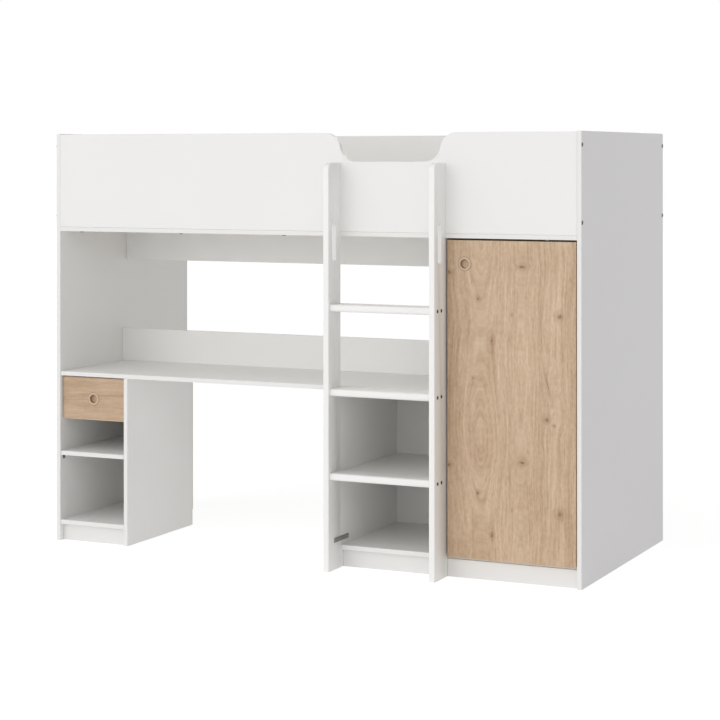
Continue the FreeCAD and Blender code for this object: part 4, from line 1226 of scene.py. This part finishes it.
@dataclass(frozen=True)
class Fastener:
    """A round-headed screw or bolt, drawn with its seat at the origin and its head upwards."""

    drive: Drive
    head: float
    crown: float
    shank: float
    sunk: float = 0.0
    rounding: float = 0.35
    flat_share: float = 0.72
    drive_share: float = 0.62
    arm_share: float = 0.24
    drive_depth: float = 0.75
    inner_share: float = 0.9
    arch: tuple[float, ...] = (0.0, 0.4, 0.8, 1.2, math.pi / 2)
    facets: int = 28
    weld: float = 2e-5

    def recess(self, work: Workpiece, reach: float) -> float:
        """Draw the outline of the drive.

        Args:
            work: The workpiece to draw in.
            reach: How far the recess reaches from the middle.

        Returns:
            How far a point in the recess can be from both of the drawing's axes.
        """
        if self.drive is Drive.HEX:
            bmesh.ops.create_circle(work.bm, cap_ends=False, segments=HEX_SIDES, radius=reach)
            return reach
        thin = reach * self.arm_share
        work.pen((thin, thin)).line(
            (thin, reach), (-thin, reach), (-thin, thin), (-reach, thin), (-reach, -thin),
            (-thin, -thin), (-thin, -reach), (thin, -reach), (thin, -thin), (reach, -thin),
            (reach, thin)).close()
        return thin

    def cap(self, radius: float) -> Workpiece:
        """Model the flat top of the head, with the drive sunk into it.

        Args:
            radius: The radius of the top.

        Returns:
            The workpiece.
        """
        work = Workpiece()
        bmesh.ops.create_circle(work.bm, cap_ends=False, segments=self.facets, radius=radius)
        arm = self.recess(work, radius * self.drive_share)
        near = radius * self.inner_share
        hollow = [edge for edge in work.bm.edges
                  if all(vert.co.length < near for vert in edge.verts)]
        work.fill()
        inside = [face for face in work.bm.faces
                  if all(vert.co.length < near for vert in face.verts)
                  and min(abs(part) for part in face.calc_center_median()[:2]) < arm]
        bmesh.ops.delete(work.bm, geom=inside, context="FACES_ONLY")
        work.sink(hollow, UPWARD * -self.crown * self.drive_depth)
        return work

    def template(self, length: float) -> Workpiece:
        """Model one fastener.

        Args:
            length: The shank's length.

        Returns:
            The workpiece.
        """
        top = self.head * self.flat_share
        arch = [(top + (self.head - top) * math.sin(turn),
                 self.crown * (1.0 - self.rounding * (1.0 - math.cos(turn))))
                for turn in self.arch]
        shank = [(self.shank, 0.0), (self.shank, -length), (0.0, -length)]
        work = Workpiece().turned([*arch, (self.head, 0.0), *shank], self.facets)
        work.add(self.cap(top), Matrix.Translation((0.0, 0.0, self.crown)))
        bmesh.ops.remove_doubles(work.bm, verts=work.bm.verts[:], dist=self.weld)
        return work.outwards()

    def fit(self, found: Sequence[Solid]) -> Workpiece:
        """Put a fastener in the place of each solid.

        Args:
            found: The solids that it stands for.

        Returns:
            All of them in one workpiece.
        """
        everything = Workpiece()
        made: dict[float, Workpiece] = {}
        for solid in found:
            axis, way = solid.long_axis(), solid.head_way()
            above = self.crown + self.sunk
            length = round(solid.high[axis] - solid.low[axis] - above, LENGTH_DIGITS)
            if length not in made:
                made[length] = self.template(length)
            seat = solid.centre
            end = solid.high[axis] if way[axis] > 0 else solid.low[axis]
            seat[axis] = end - way[axis] * above
            everything.add(made[length], Matrix.Translation(seat) @ turn_to(way))
        return everything


GUARD_BOLT = Fastener(Drive.HEX, head=0.0072, crown=0.0012, shank=0.0030, sunk=0.0008)
LEDGE_SCREW = Fastener(Drive.CROSS, head=0.0070, crown=0.0030, shank=0.0025)
LADDER_BOLT = Fastener(Drive.HEX, head=0.0070, crown=0.0030, shank=0.0030)
STEP_SCREW = Fastener(Drive.CROSS, head=0.0062, crown=0.0012, shank=0.0025)
SMALL_SCREW = Fastener(Drive.CROSS, head=0.0035, crown=0.0015, shank=0.00175)


@dataclass
class SubAssembly:
    """What every sub-assembly shares: the model's nodes, and how they are dressed or replaced."""

    nodes: dict[str, bpy.types.Object]
    arris: float = 0.0010
    joint: float = 0.00015
    arris_share: float = 0.25

    def board(self, node: str, body: Body = Body.BED, slot: str = "white_board",
              finishes: Sequence[Finish] = WHITE_BOARD) -> None:
        """Put a plain board with banded edges in the place of a node.

        Args:
            node: The node's name.
            body: What the board rides on.
            slot: The record's material slot.
            finishes: The finishes of its faces, its narrow sides and its core.
        """
        work = self.slab(node, *self.place(node))
        work.finish(f"{node}-board", body, slot, finishes, [node])

    def place(self, node: str) -> tuple[Vector, Vector]:
        """Find where a board goes.

        Args:
            node: The node's name.

        Returns:
            Its corners, drawn in by the hair that shows as a line where two boards meet.
        """
        low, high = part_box(node)
        hair = Vector((self.joint, self.joint, self.joint))
        return low + hair, high - hair

    def slab(self, node: str, low: Vector, high: Vector) -> Workpiece:
        """Model a softened and banded board.

        Args:
            node: The node's name.
            low: The board's lowest corner.
            high: Its highest corner.

        Returns:
            The workpiece, not yet finished.
        """
        size = high - low
        thin = min(AXES, key=lambda axis: size[axis])
        LOG.info("%s: board of %.0f mm", node, size[thin] * MM_PER_METRE)
        width = min(self.arris, size[thin] * self.arris_share)
        return Workpiece().slab(low, high).soften(width).band(thin)

    def fasten(self, node: str, kind: Fastener, slot: str, finish: Finish,
               body: Body = Body.BED) -> None:
        """Put real fasteners in the place of a node.

        Args:
            node: The node's name.
            kind: The fastener.
            slot: The record's material slot.
            finish: What it is dressed with.
            body: What it rides on.
        """
        work = kind.fit(solids(self.nodes[node]))
        work.finish(f"{node}-{kind.drive.value}", body, slot, [finish], [node], MILLED_SMOOTH)

    def keep(self, finish: Finish, *names: str) -> None:
        """Dress nodes whose own shape is right.

        Args:
            finish: What they are dressed with.
            *names: The nodes.
        """
        for name in names:
            materials = self.nodes[name].data.materials
            materials.clear()
            materials.append(finish.material())
            LOG.info("%s: kept, %s", name, finish.name)


@dataclass
class FingerCup(SubAssembly):
    """The recessed round grip of a front: a cup with painted shade on its inner wall, a soft rim,
    and a dark seam of painted shadow round it.
    """

    radius: float = 0.0158
    depth: float = 0.0140
    lip: float = 0.0015
    flange: float = 0.0243
    wall: float = 0.0010
    foot: float = 0.0022
    bead: float = 0.0014
    seam: float = 0.0012
    seam_start: float = 0.3
    edge_heights: Pair = (0.92, 0.62)
    seam_heights: Pair = (0.08, 0.05)
    bend_points: int = 7
    bend_step: float = 15.0
    facets: int = 72

    def profile(self) -> list[Pair]:
        """Draw the cup's section.

        Returns:
            Radius and height from the floor of the cup, over the rim, to its back.
        """
        turns = [math.radians(self.bend_step * step) for step in range(self.bend_points)]
        floor = [(self.radius - self.foot + self.foot * math.sin(turn),
                  -self.depth + self.foot * (1.0 - math.cos(turn))) for turn in turns]
        inner = [(self.radius + self.bead * (1.0 - math.cos(turn)),
                  self.lip - self.bead + self.bead * math.sin(turn)) for turn in turns]
        edge = self.flange - self.seam
        outer = [(edge - 2.0 * self.bead, self.lip),
                 (edge - self.bead, self.lip * self.edge_heights[0]),
                 (edge, self.lip * self.edge_heights[1])]
        step = [(edge + self.seam * self.seam_start, self.lip * self.seam_heights[0]),
                (self.flange, self.lip * self.seam_heights[1]), (self.flange, 0.0)]
        back = -self.depth - self.wall
        tail = [(self.radius + self.wall, 0.0), (self.radius + self.wall, back), (0.0, back)]
        return [(0.0, -self.depth), *floor, *inner, *outer, *step, *tail]

    def build(self, node: str, body: Body) -> None:
        """Turn the cup and set it in its front.

        Args:
            node: The cup's node.
            body: What it rides on.
        """
        low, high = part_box(node)
        centre = (low + high) / 2
        work = Workpiece().turned(self.profile(), self.facets)
        # Faces of the seam round the flange get painted shadow, and the cup's inner wall gets
        # painted shade.
        for face in work.bm.faces:
            middle = face.calc_center_median()
            reach = math.hypot(middle.x, middle.y)
            inward = face.normal.dot((middle.x, middle.y, 0.0)) < 0.0
            if reach > self.flange - self.seam and middle.z > 0.0:
                face.material_index = Coat.THIRD
            elif reach > self.radius - self.foot / 2 and middle.z < 0.0 and inward:
                face.material_index = Coat.SECOND
        work.move(Matrix.Translation((centre.x, low.y + self.lip, centre.z)) @ TO_FRONT)
        work.finish(f"{node}-cup", body, "grip_plastic", [GRIP, GRIP_WALL_PAINTED_SHADE, GRIP_SEAM_PAINTED_SHADOW], [node],
                    TURNED_SMOOTH)


@dataclass
class SleepingDeck(SubAssembly):
    """The end panels, guards, ledges, rails, slats and what holds them together."""

    cutout_middle: float = 0.335
    cutout_width: float = 0.378
    cutout_depth: float = 0.101
    cutout_run: float = 0.120
    nut_radius: float = 0.0051
    nut_depth: float = 0.0131
    nut_reach: float = 0.02
    slat_round: float = 0.003
    tape_round: float = 0.0003

    def build(self) -> None:
        """Make the deck."""
        for node in ("front_ledge", "rear_ledge", "middle_rail", "wardrobe_rail"):
            self.board(node)
        self.end_panel("left_end_panel", LEFTWARD)
        self.end_panel("right_end_panel", RIGHTWARD)
        self.front_guard()
        self.rear_guard()
        self.base()
        self.fasteners()

    def end_panel(self, node: str, outward: Vector) -> None:
        """Make an end panel, whose outer face has a cooler, darker white of painted shade.

        Args:
            node: The panel's node.
            outward: The way that its outer face looks.
        """
        work = self.slab(node, *self.place(node)).shade_side(outward)
        work.finish(f"{node}-board", Body.BED, "white_board", [FACE, BAND, OUTSIDE_PAINTED_SHADE], [node])

    def nut_holes(self, work: Workpiece, face: float, outward: Vector) -> None:
        """Drill the holes of the barrel nuts in a guard's inner face.

        Args:
            work: The guard.
            face: How far back the inner face lies.
            outward: The way that it looks.
        """
        for solid in solids(self.nodes["guard_bolt_nuts"]):
            middle = solid.centre
            if abs(middle.y - face) < self.nut_reach:
                mouth = Vector((middle.x, face, middle.z))
                work.drill(mouth, outward, self.nut_radius, self.nut_depth)

    def front_guard(self) -> None:
        """Make the guard with its S-curved way in."""
        low, high = self.place("front_guard")
        top, half = high.z, self.cutout_run / 2
        rise = self.cutout_depth / 2
        radius = (half * half + rise * rise) / (2.0 * rise)
        turn = math.degrees(math.asin(half / radius))
        reach = self.cutout_width / 2
        right, left = self.cutout_middle + reach, self.cutout_middle - reach
        floor = top - self.cutout_depth
        work = Workpiece()
        pen = work.pen((low.x, low.z)).line((high.x, low.z), (high.x, top), (right + half, top))
        pen.arc((right + half, top - radius), turn).arc((right - half, floor + radius), -turn)
        pen.line((left + half, floor))
        pen.arc((left + half, floor + radius), -turn).arc((left - half, top - radius), turn)
        pen.line((low.x, top)).close()
        work.pad(Plane.XZ, BACKWARD * high.y, high.y - low.y).soften(self.arris).band(Y_AXIS)
        self.nut_holes(work, high.y, BACKWARD)
        work.finish("front_guard-board", Body.BED, "white_board", WHITE_BOARD, ["front_guard"])

    def rear_guard(self) -> None:
        """Make the plain guard at the wall."""
        low, high = self.place("rear_guard")
        work = self.slab("rear_guard", low, high)
        self.nut_holes(work, low.y, FRONTWARD)
        work.finish("rear_guard-board", Body.BED, "white_board", WHITE_BOARD, ["rear_guard"])

    def base(self) -> None:
        """Make the slats and the tapes under them."""
        slats = Workpiece().slabs(solids(self.nodes["bed_slats"]))
        slats.soften(self.slat_round, segments=3)
        slats.finish("bed_slats-planed", Body.BED, "slat_timber", [SLAT], ["bed_slats"])
        tapes = Workpiece().slabs(solids(self.nodes["slat_ribbons"]))
        tapes.soften(self.tape_round)
        tapes.finish("slat_ribbons-tape", Body.BED, "ribbon_cloth", [TAPE], ["slat_ribbons"])

    def fasteners(self) -> None:
        """Make the guard bolts and the screws under the ledges, and dress the nuts and dowels."""
        self.fasten("guard_bolts", GUARD_BOLT, "dark_steel", DARK_STEEL)
        self.fasten("ledge_screws", LEDGE_SCREW, "bright_steel", DULL_ZINC)
        self.keep(ZINC, "guard_bolt_nuts")
        self.keep(PEG, "joint_dowels", "drawer_dowels")


@dataclass
class Furniture(SubAssembly):
    """The desk, the pedestal's and bookcase's boards, and the wardrobe's carcass."""

    pin_peg: float = 0.0025
    pin_depth: float = 0.009
    pin_round: float = 0.0012
    pin_facets: int = 20
    tube_wall: float = 0.0015
    tube_edge: float = 0.0004
    tube_facets: int = 64
    dome_share: float = 0.3
    dome_turns: tuple[float, ...] = (0.0, 0.5, 1.0, 1.3, math.pi / 2)
    dome_facets: int = 32

    def build(self) -> None:
        """Make the furniture under the bed."""
        for name in ("desk_top", "desk_upstand", "pedestal_side", "pedestal_bottom",
                     "pedestal_shelf", "bookcase_side", "bookcase_bottom", "bookcase_shelf",
                     "wardrobe_side", "wardrobe_bottom"):
            self.board(name)
        # The plinths take the darker white of painted shade.
        for name in ("pedestal_plinth", "bookcase_plinth", "wardrobe_plinth"):
            self.board(name, finishes=(PLINTH_PAINTED_SHADE, BAND, CORE))
        # Painted shade: the top's front edge shows the dark board core, so the slot above the
        # door reads black.
        top = self.slab("wardrobe_top", *self.place("wardrobe_top")).shade_side(FRONTWARD)
        top.finish("wardrobe_top-board", Body.BED, "white_board", WHITE_BOARD, ["wardrobe_top"])
        for name in ("pedestal_back", "bookcase_back", "wardrobe_back"):
            self.board(name, slot="thin_board", finishes=(THIN, CORE))
        self.shelf_pins()
        self.hanging_rail()
        self.bumpers()

    def shelf_pins(self) -> None:
        """Make the pins under the loose shelves: a flat pad on a round peg."""
        work, pegs = Workpiece(), Workpiece()
        peg = Workpiece().turned([(0.0, 0.0), (self.pin_peg, 0.0),
                                  (self.pin_peg, -self.pin_depth), (0.0, -self.pin_depth)],
                                 self.pin_facets)
        for solid in solids(self.nodes["shelf_pins"]):
            low, high = solid.low, solid.high
            rim = [point.x for point in solid.points if point.z > high.z - SAME_PLANE]
            low.x, high.x = min(rim), max(rim)
            work.slab(low, high)
            leftward = high.x < solid.high.x - SAME_PLANE
            seat = (low + high) / 2
            seat.x = high.x if leftward else low.x
            turn = turn_to(LEFTWARD if leftward else RIGHTWARD)
            pegs.add(peg, Matrix.Translation(seat) @ turn)
        work.soften(self.pin_round, segments=3).add(pegs, Matrix.Identity(4))
        work.finish("shelf_pins-pads", Body.BED, "dark_plastic", [DARK_PLASTIC], ["shelf_pins"],
                    TURNED_SMOOTH)

    def hanging_rail(self) -> None:
        """Make the tube for hangers, and dress the sockets that hold it."""
        low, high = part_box("hanging_rail")
        radius, length = (high.z - low.z) / 2, high.x - low.x
        inner, edge = radius - self.tube_wall, self.tube_edge
        tube = Workpiece().turned([(inner, 0.0), (radius - edge, 0.0), (radius, edge),
                                   (radius, length - edge), (radius - edge, length),
                                   (inner, length), (inner, 0.0)], self.tube_facets)
        place = Matrix.Translation((low.x, (low.y + high.y) / 2, (low.z + high.z) / 2))
        tube.move(place @ Matrix.Rotation(math.pi / 2, 4, "Y"))
        tube.finish("hanging_rail-tube", Body.BED, "rail_chrome", [CHROME], ["hanging_rail"],
                    TURNED_SMOOTH)
        self.keep(WHITE_PLASTIC, "rail_sockets")

    def bumpers(self) -> None:
        """Make the soft stops that the door closes on."""
        work = Workpiece()
        for solid in solids(self.nodes["door_bumpers"]):
            reach, length = (solid.high.z - solid.low.z) / 2, solid.high.y - solid.low.y
            dome = [(reach * math.sin(turn),
                     length - reach * self.dome_share * (1.0 - math.cos(turn)))
                    for turn in self.dome_turns]
            stop = Workpiece().turned([*dome, (reach, 0.0), (0.0, 0.0)], self.dome_facets)
            seat = solid.centre
            seat.y = solid.high.y
            work.add(stop, Matrix.Translation(seat) @ TO_FRONT)
        work.finish("door_bumpers-domes", Body.BED, "bumper_rubber", [CLEAR_RUBBER],
                    ["door_bumpers"], TURNED_SMOOTH)


@dataclass
class Drawer(SubAssembly):
    """The oak-fronted drawer and its runners."""

    hole: float = 0.0169
    groove: float = 0.0065
    play: float = 0.0003
    runner_round: float = 0.0008
    seat: float = 0.0036
    seat_depth: float = 0.0016
    seat_play: float = 0.001

    def build(self) -> None:
        """Make the drawer."""
        self.front()
        FingerCup(self.nodes).build("drawer_grip", Body.DRAWER)
        runners = sorted(solids(self.nodes["drawer_runners"]), key=lambda solid: solid.low.x)
        self.side("drawer_side_left", runners[0], Hand.LEFT)
        self.side("drawer_side_right", runners[1], Hand.RIGHT)
        self.board("drawer_back", Body.DRAWER)
        self.board("drawer_bottom", Body.DRAWER, "thin_board", (THIN, CORE))
        self.runners(runners)

    def front(self) -> None:
        """Make the oak front with its hole for the grip."""
        low, high = self.place("drawer_front")
        cup_low, cup_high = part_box("drawer_grip")
        mouth = (cup_low + cup_high) / 2
        mouth.y = low.y
        work = self.slab("drawer_front", low, high)
        work.drill(mouth, FRONTWARD, self.hole, high.y - low.y, through=True)
        work.finish("drawer_front-board", Body.DRAWER, "oak_board",
                    [DRAWER_OAK, OAK_BAND_ACROSS_PAINTED_LIGHT, CORE], ["drawer_front"])

    def side(self, node: str, runner: Solid, hand: Hand) -> None:
        """Make a side with the groove that rides on its runner.

        Args:
            node: The side's node.
            runner: The runner that it rides on.
            hand: Which of the two sides it is.
        """
        low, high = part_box(node)
        under, over = runner.low.z - self.play, runner.high.z + self.play
        outer, inner = (low.x, high.x) if hand is Hand.LEFT else (high.x, low.x)
        deep = outer - hand.value * self.groove
        work = Workpiece()
        work.pen((outer, low.z)).line(
            (inner, low.z), (inner, high.z), (outer, high.z), (outer, over), (deep, over),
            (deep, under), (outer, under)).close()
        work.pad(Plane.XZ, BACKWARD * high.y, high.y - low.y).soften(self.arris / 2).band(X_AXIS)
        work.finish(f"{node}-board", Body.DRAWER, "white_board", WHITE_BOARD, [node])

    def runners(self, found: Sequence[Solid]) -> None:
        """Make the strips on the pedestal's walls, with seats for their screws.

        Args:
            found: The strips' solids.
        """
        work = Workpiece().slabs(found).soften(self.runner_round, segments=3)
        for screw in solids(self.nodes["small_screws"]):
            way, middle = screw.head_way(), screw.centre
            end = screw.high.x if way.x > 0 else screw.low.x
            for strip in found:
                face = strip.high.x if way.x > 0 else strip.low.x
                inside = all(strip.low[axis] < middle[axis] < strip.high[axis]
                             for axis in (Y_AXIS, Z_AXIS))
                if way.x and inside and abs(face - end) < self.seat_play:
                    mouth = Vector((face, middle.y, middle.z))
                    work.drill(mouth, way, self.seat, self.seat_depth, index=Coat.FIRST)
        work.finish("drawer_runners-strips", Body.BED, "white_plastic", [WHITE_PLASTIC],
                    ["drawer_runners"])


@dataclass
class Door(SubAssembly):
    """The oak wardrobe door, its grip and its concealed hinges."""

    arris: float = 0.0016
    hole: float = 0.0169
    cup: float = 0.0176
    cup_depth: float = 0.0121

    def build(self) -> None:
        """Make the door."""
        low, high = self.place("wardrobe_door")
        cup_low, cup_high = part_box("door_grip")
        mouth = (cup_low + cup_high) / 2
        mouth.y = low.y
        # Painted shade: the door's top edge shows the dark board core, darkening the gap above
        # the door.
        work = self.slab("wardrobe_door", low, high).shade_side(UPWARD)
        work.drill(mouth, FRONTWARD, self.hole, high.y - low.y, through=True)
        for solid in solids(self.nodes["hinge_cups"]):
            place = Vector((solid.centre.x, high.y, solid.centre.z))
            work.drill(place, BACKWARD, self.cup, self.cup_depth)
        work.finish("wardrobe_door-board", Body.DOOR, "oak_board", [DOOR_OAK, OAK_BAND_PAINTED_LIGHT, CORE],
                    ["wardrobe_door"])
        FingerCup(self.nodes).build("door_grip", Body.DOOR)
        self.keep(ZINC, "hinge_cups", "hinge_pins", "hinge_arms", "hinge_plates")
        self.fasten("hinge_cup_screws", SMALL_SCREW, "bright_steel", ZINC, Body.DOOR)


@dataclass
class Ladder(SubAssembly):
    """The ladder: stiles with slots to hold on to, rounded steps, and what ties it to the bed."""

    stile_round: float = 0.028
    stile_facets: int = 14
    edge_round: float = 0.0028
    slot_near: float = 0.031
    slot_width: float = 0.030
    slot_length: float = 0.137
    slot_drop: float = 0.206
    slot_facets: int = 20
    step_round: float = 0.008
    step_facets: int = 8
    step_arris: float = 0.0008
    link_thickness: float = 0.002
    link_front: float = 0.053
    link_arris: float = 0.00025
    rib_width: float = 0.0030
    rib_rise: float = 0.0006
    rib_facing: float = 0.5

    def build(self) -> None:
        """Make the ladder."""
        for side in ("left", "right"):
            self.stile(f"ladder_stile_{side}")
        for number in (1, 2, 3):
            self.step(f"ladder_step_{number}")
        self.fasteners()
        self.link_plate("link_plate_left", Hand.RIGHT)
        self.link_plate("link_plate_right", Hand.LEFT)

    def stile(self, node: str) -> None:
        """Make one side of the ladder.

        Args:
            node: The stile's node.
        """
        low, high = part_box(node)
        bend = self.stile_round
        work = Workpiece()
        pen = work.pen((low.y, low.z))
        pen.line((high.y, low.z), (high.y, high.z), (low.y + bend, high.z))
        pen.arc((low.y + bend, high.z - bend), QUARTER_TURN, self.stile_facets).close()
        half = self.slot_width / 2
        middle = low.y + self.slot_near + half
        top = high.z - self.slot_drop - half
        foot = high.z - self.slot_drop - self.slot_length + half
        slot = work.pen((middle - half, foot))
        slot.arc((middle, foot), HALF_TURN, self.slot_facets).line((middle + half, top))
        slot.arc((middle, top), HALF_TURN, self.slot_facets).close()
        work.pad(Plane.YZ, RIGHTWARD * low.x, high.x - low.x).soften(self.edge_round, segments=3)
        work.finish(f"{node}-bar", Body.BED, "white_lacquer", [LACQUER], [node], MILLED_SMOOTH)

    def step(self, node: str) -> None:
        """Make one tread with rounded front edges.

        Args:
            node: The tread's node.
        """
        low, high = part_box(node)
        bend = self.step_round
        work = Workpiece()
        pen = work.pen((low.y + bend, low.z))
        pen.line((high.y, low.z), (high.y, high.z), (low.y + bend, high.z))
        pen.arc((low.y + bend, high.z - bend), QUARTER_TURN, self.step_facets)
        pen.line((low.y, low.z + bend))
        pen.arc((low.y + bend, low.z + bend), QUARTER_TURN, self.step_facets).close()
        work.pad(Plane.YZ, RIGHTWARD * low.x, high.x - low.x).soften(self.step_arris)
        work.finish(f"{node}-tread", Body.BED, "white_lacquer", [LACQUER], [node], MILLED_SMOOTH)

    def link_plate(self, node: str, shown: Hand) -> None:
        """Make a plate with a rib along it, lighter as a painted highlight, stepped where its two
        boards are not in line.

        Args:
            node: The plate's node.
            shown: The way that its ribbed face looks.
        """
        low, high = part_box(node)
        thick = self.link_thickness
        offset = high.x - low.x - thick
        stepped = offset > SAME_PLANE
        bend = low.y + self.link_front
        right = low.x + thick
        work = Workpiece()
        pen = work.pen((low.x, low.y)).line((right, low.y))
        if stepped:
            pen.line((right, bend), (high.x, bend + offset))
        pen.line((high.x, high.y), (low.x + offset, high.y))
        if stepped:
            pen.line((low.x + offset, bend + thick + offset), (low.x, bend + thick))
        pen.close()
        work.pad(Plane.XY, UPWARD * low.z, high.z - low.z)
        middle, half = (low.z + high.z) / 2, self.rib_width / 2
        for edge in (middle - half, middle + half):
            work.cut(UPWARD * edge, UPWARD)
        strip = [face for face in work.bm.faces if face.normal.x * shown.value > self.rib_facing
                 and abs(face.calc_center_median().z - middle) < half]
        made = bmesh.ops.extrude_face_region(work.bm, geom=strip)["geom"]
        bmesh.ops.delete(work.bm, geom=strip, context="FACES")
        bmesh.ops.translate(work.bm, vec=RIGHTWARD * shown.value * self.rib_rise,
                            verts=pick(made, BMVert))
        # The rib's faces take the lighter steel of the painted highlight.
        for face in pick(made, BMFace):
            face.material_index = Coat.SECOND
        work.outwards().soften(self.link_arris)
        work.finish(f"{node}-ribbed", Body.BED, "dark_steel", [LINK_STEEL, LINK_RIB_PAINTED_HIGHLIGHT], [node])

    def fasteners(self) -> None:
        """Make the screws in the step ends, the bolts in the guard, and the small screws."""
        self.fasten("ladder_step_screws", STEP_SCREW, "dark_steel", DARK_STEEL)
        self.fasten("ladder_bolts", LADDER_BOLT, "bright_steel", ZINC)
        self.fasten("small_screws", SMALL_SCREW, "dark_steel", LINK_STEEL)


@dataclass(frozen=True)
class Lamp:
    """A broad, distant lamp that lights the whole bed evenly."""

    name: str
    towards: Triple
    strength: float
    spread: float = 75.0
    distance: float = 6.0

    def build(self) -> None:
        """Hang the lamp."""
        data = bpy.data.lights.new(self.name, "SUN")
        data.energy = self.strength
        data.angle = math.radians(self.spread)
        holder = bpy.data.objects.new(self.name, data)
        holder.location = Vector(self.towards).normalized() * self.distance
        holder.rotation_euler = Vector(self.towards).to_track_quat("Z", "Y").to_euler()
        bpy.context.scene.collection.objects.link(holder)


LAMPS = (
    Lamp("front lamp", (-0.28, -0.95, 0.15), strength=0.50, spread=45.0),
    Lamp("front right lamp", (0.55, -0.83, 0.08), strength=0.68),
    Lamp("front left lamp", (-0.7, -0.7, 0.4), strength=0.76),
    Lamp("front top lamp", (0.0, -0.6, 1.0), strength=0.46),
    Lamp("left lamp", (-1.0, -0.2, 0.4), strength=0.08),
    Lamp("back lamp", (0.0, 1.0, 0.3), strength=0.45, spread=20.0),
)


@dataclass
class Studio:
    """The floor, the soft light and the camera of the photograph."""

    camera_at: Triple = (3.1372, -6.6834, 1.4290)
    camera_turn: Triple = (90.0, 0.0182, 24.976)
    lens: float = 99.274
    sensor: float = 36.0
    shift_y: float = -0.28036
    ambient: float = 0.31
    lamps: tuple[Lamp, ...] = LAMPS
    floor_reach: float = 30.0
    floor_white: float = 0.80
    floor_bounce: float = 0.28
    floor_seen: float = 0.30
    floor_glow: float = 0.83

    def build(self) -> None:
        """Set the stage."""
        settings = bpy.context.scene.view_settings
        settings.view_transform = "Standard"
        self.camera()
        self.world()
        for lamp in self.lamps:
            lamp.build()
        self.floor()

    def camera(self) -> None:
        """Put a level camera at the photograph's place, with its frame moved down."""
        data = bpy.data.cameras.new("photo camera")
        data.lens = self.lens
        data.sensor_width = self.sensor
        data.shift_y = self.shift_y
        holder = bpy.data.objects.new("photo camera", data)
        holder.location = self.camera_at
        holder.rotation_euler = [math.radians(angle) for angle in self.camera_turn]
        bpy.context.scene.collection.objects.link(holder)
        bpy.context.scene.camera = holder

    def seen(self, tree: bpy.types.NodeTree) -> Socket:
        """Tell what the camera sees, in gloss and through glass too, from what only lights.

        Args:
            tree: The nodes to add to.

        Returns:
            1 for what the camera sees, and 0 for what only lights.
        """
        path = tree.nodes.new("ShaderNodeLightPath")
        found = path.outputs["Is Camera Ray"]
        for name in ("Is Glossy Ray", "Is Transmission Ray"):
            either = tree.nodes.new("ShaderNodeMath")
            either.operation = "MAXIMUM"
            tree.links.new(found, either.inputs[0])
            tree.links.new(path.outputs[name], either.inputs[1])
            found = either.outputs[0]
        return found

    def world(self) -> None:
        """Give even light from all round, and plain white for what looks past the object."""
        world = bpy.data.worlds.new("white studio")
        world.use_nodes = True
        tree = world.node_tree
        level = tree.nodes.new("ShaderNodeMapRange")
        level.inputs["To Min"].default_value = self.ambient
        tree.links.new(self.seen(tree), level.inputs["Value"])
        background = tree.nodes["Background"]
        background.inputs["Color"].default_value = (1.0, 1.0, 1.0, 1.0)
        tree.links.new(level.outputs[0], background.inputs["Strength"])
        bpy.context.scene.world = world

    def floor_shader(self, tree: bpy.types.NodeTree, white: float, glow: float) -> Socket:
        """Mix a matt shade with an even glow of its own.

        Args:
            tree: The nodes to add to.
            white: How light the shade is.
            glow: How strong the glow is.

        Returns:
            The shader.
        """
        matt = tree.nodes.new("ShaderNodeBsdfDiffuse")
        matt.inputs["Color"].default_value = (white, white, white, 1.0)
        light = tree.nodes.new("ShaderNodeEmission")
        light.inputs["Strength"].default_value = glow
        both = tree.nodes.new("ShaderNodeAddShader")
        tree.links.new(matt.outputs[0], both.inputs[0])
        tree.links.new(light.outputs[0], both.inputs[1])
        return both.outputs[0]

    def floor(self) -> None:
        """Lay a pale floor that reads as white but keeps the bed's shadow."""
        material = bpy.data.materials.new("studio floor")
        material.use_nodes = True
        tree = material.node_tree
        tree.nodes.remove(tree.nodes["Principled BSDF"])
        mix = tree.nodes.new("ShaderNodeMixShader")
        light = self.floor_shader(tree, self.floor_white, self.floor_bounce)
        sight = self.floor_shader(tree, self.floor_seen, self.floor_glow)
        for number, socket in enumerate((self.seen(tree), light, sight)):
            tree.links.new(socket, mix.inputs[number])
        tree.links.new(mix.outputs[0], tree.nodes["Material Output"].inputs["Surface"])
        bm = bmesh.new()
        bmesh.ops.create_grid(bm, x_segments=2, y_segments=2, size=self.floor_reach)
        mesh = bpy.data.meshes.new("studio floor")
        bm.to_mesh(mesh)
        bm.free()
        mesh.materials.append(material)
        plane = bpy.data.objects.new("studio_floor", mesh)
        bpy.context.scene.collection.objects.link(plane)


def main() -> None:
    """Dress the bed and set the stage."""
    logging.basicConfig(level=logging.INFO, format="%(name)s %(message)s")
    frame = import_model()
    nodes = frame["nodes"]
    SleepingDeck(nodes).build()
    Furniture(nodes).build()
    Drawer(nodes).build()
    Door(nodes).build()
    Ladder(nodes).build()
    Studio().build()


if __name__ == "__main__":
    main()
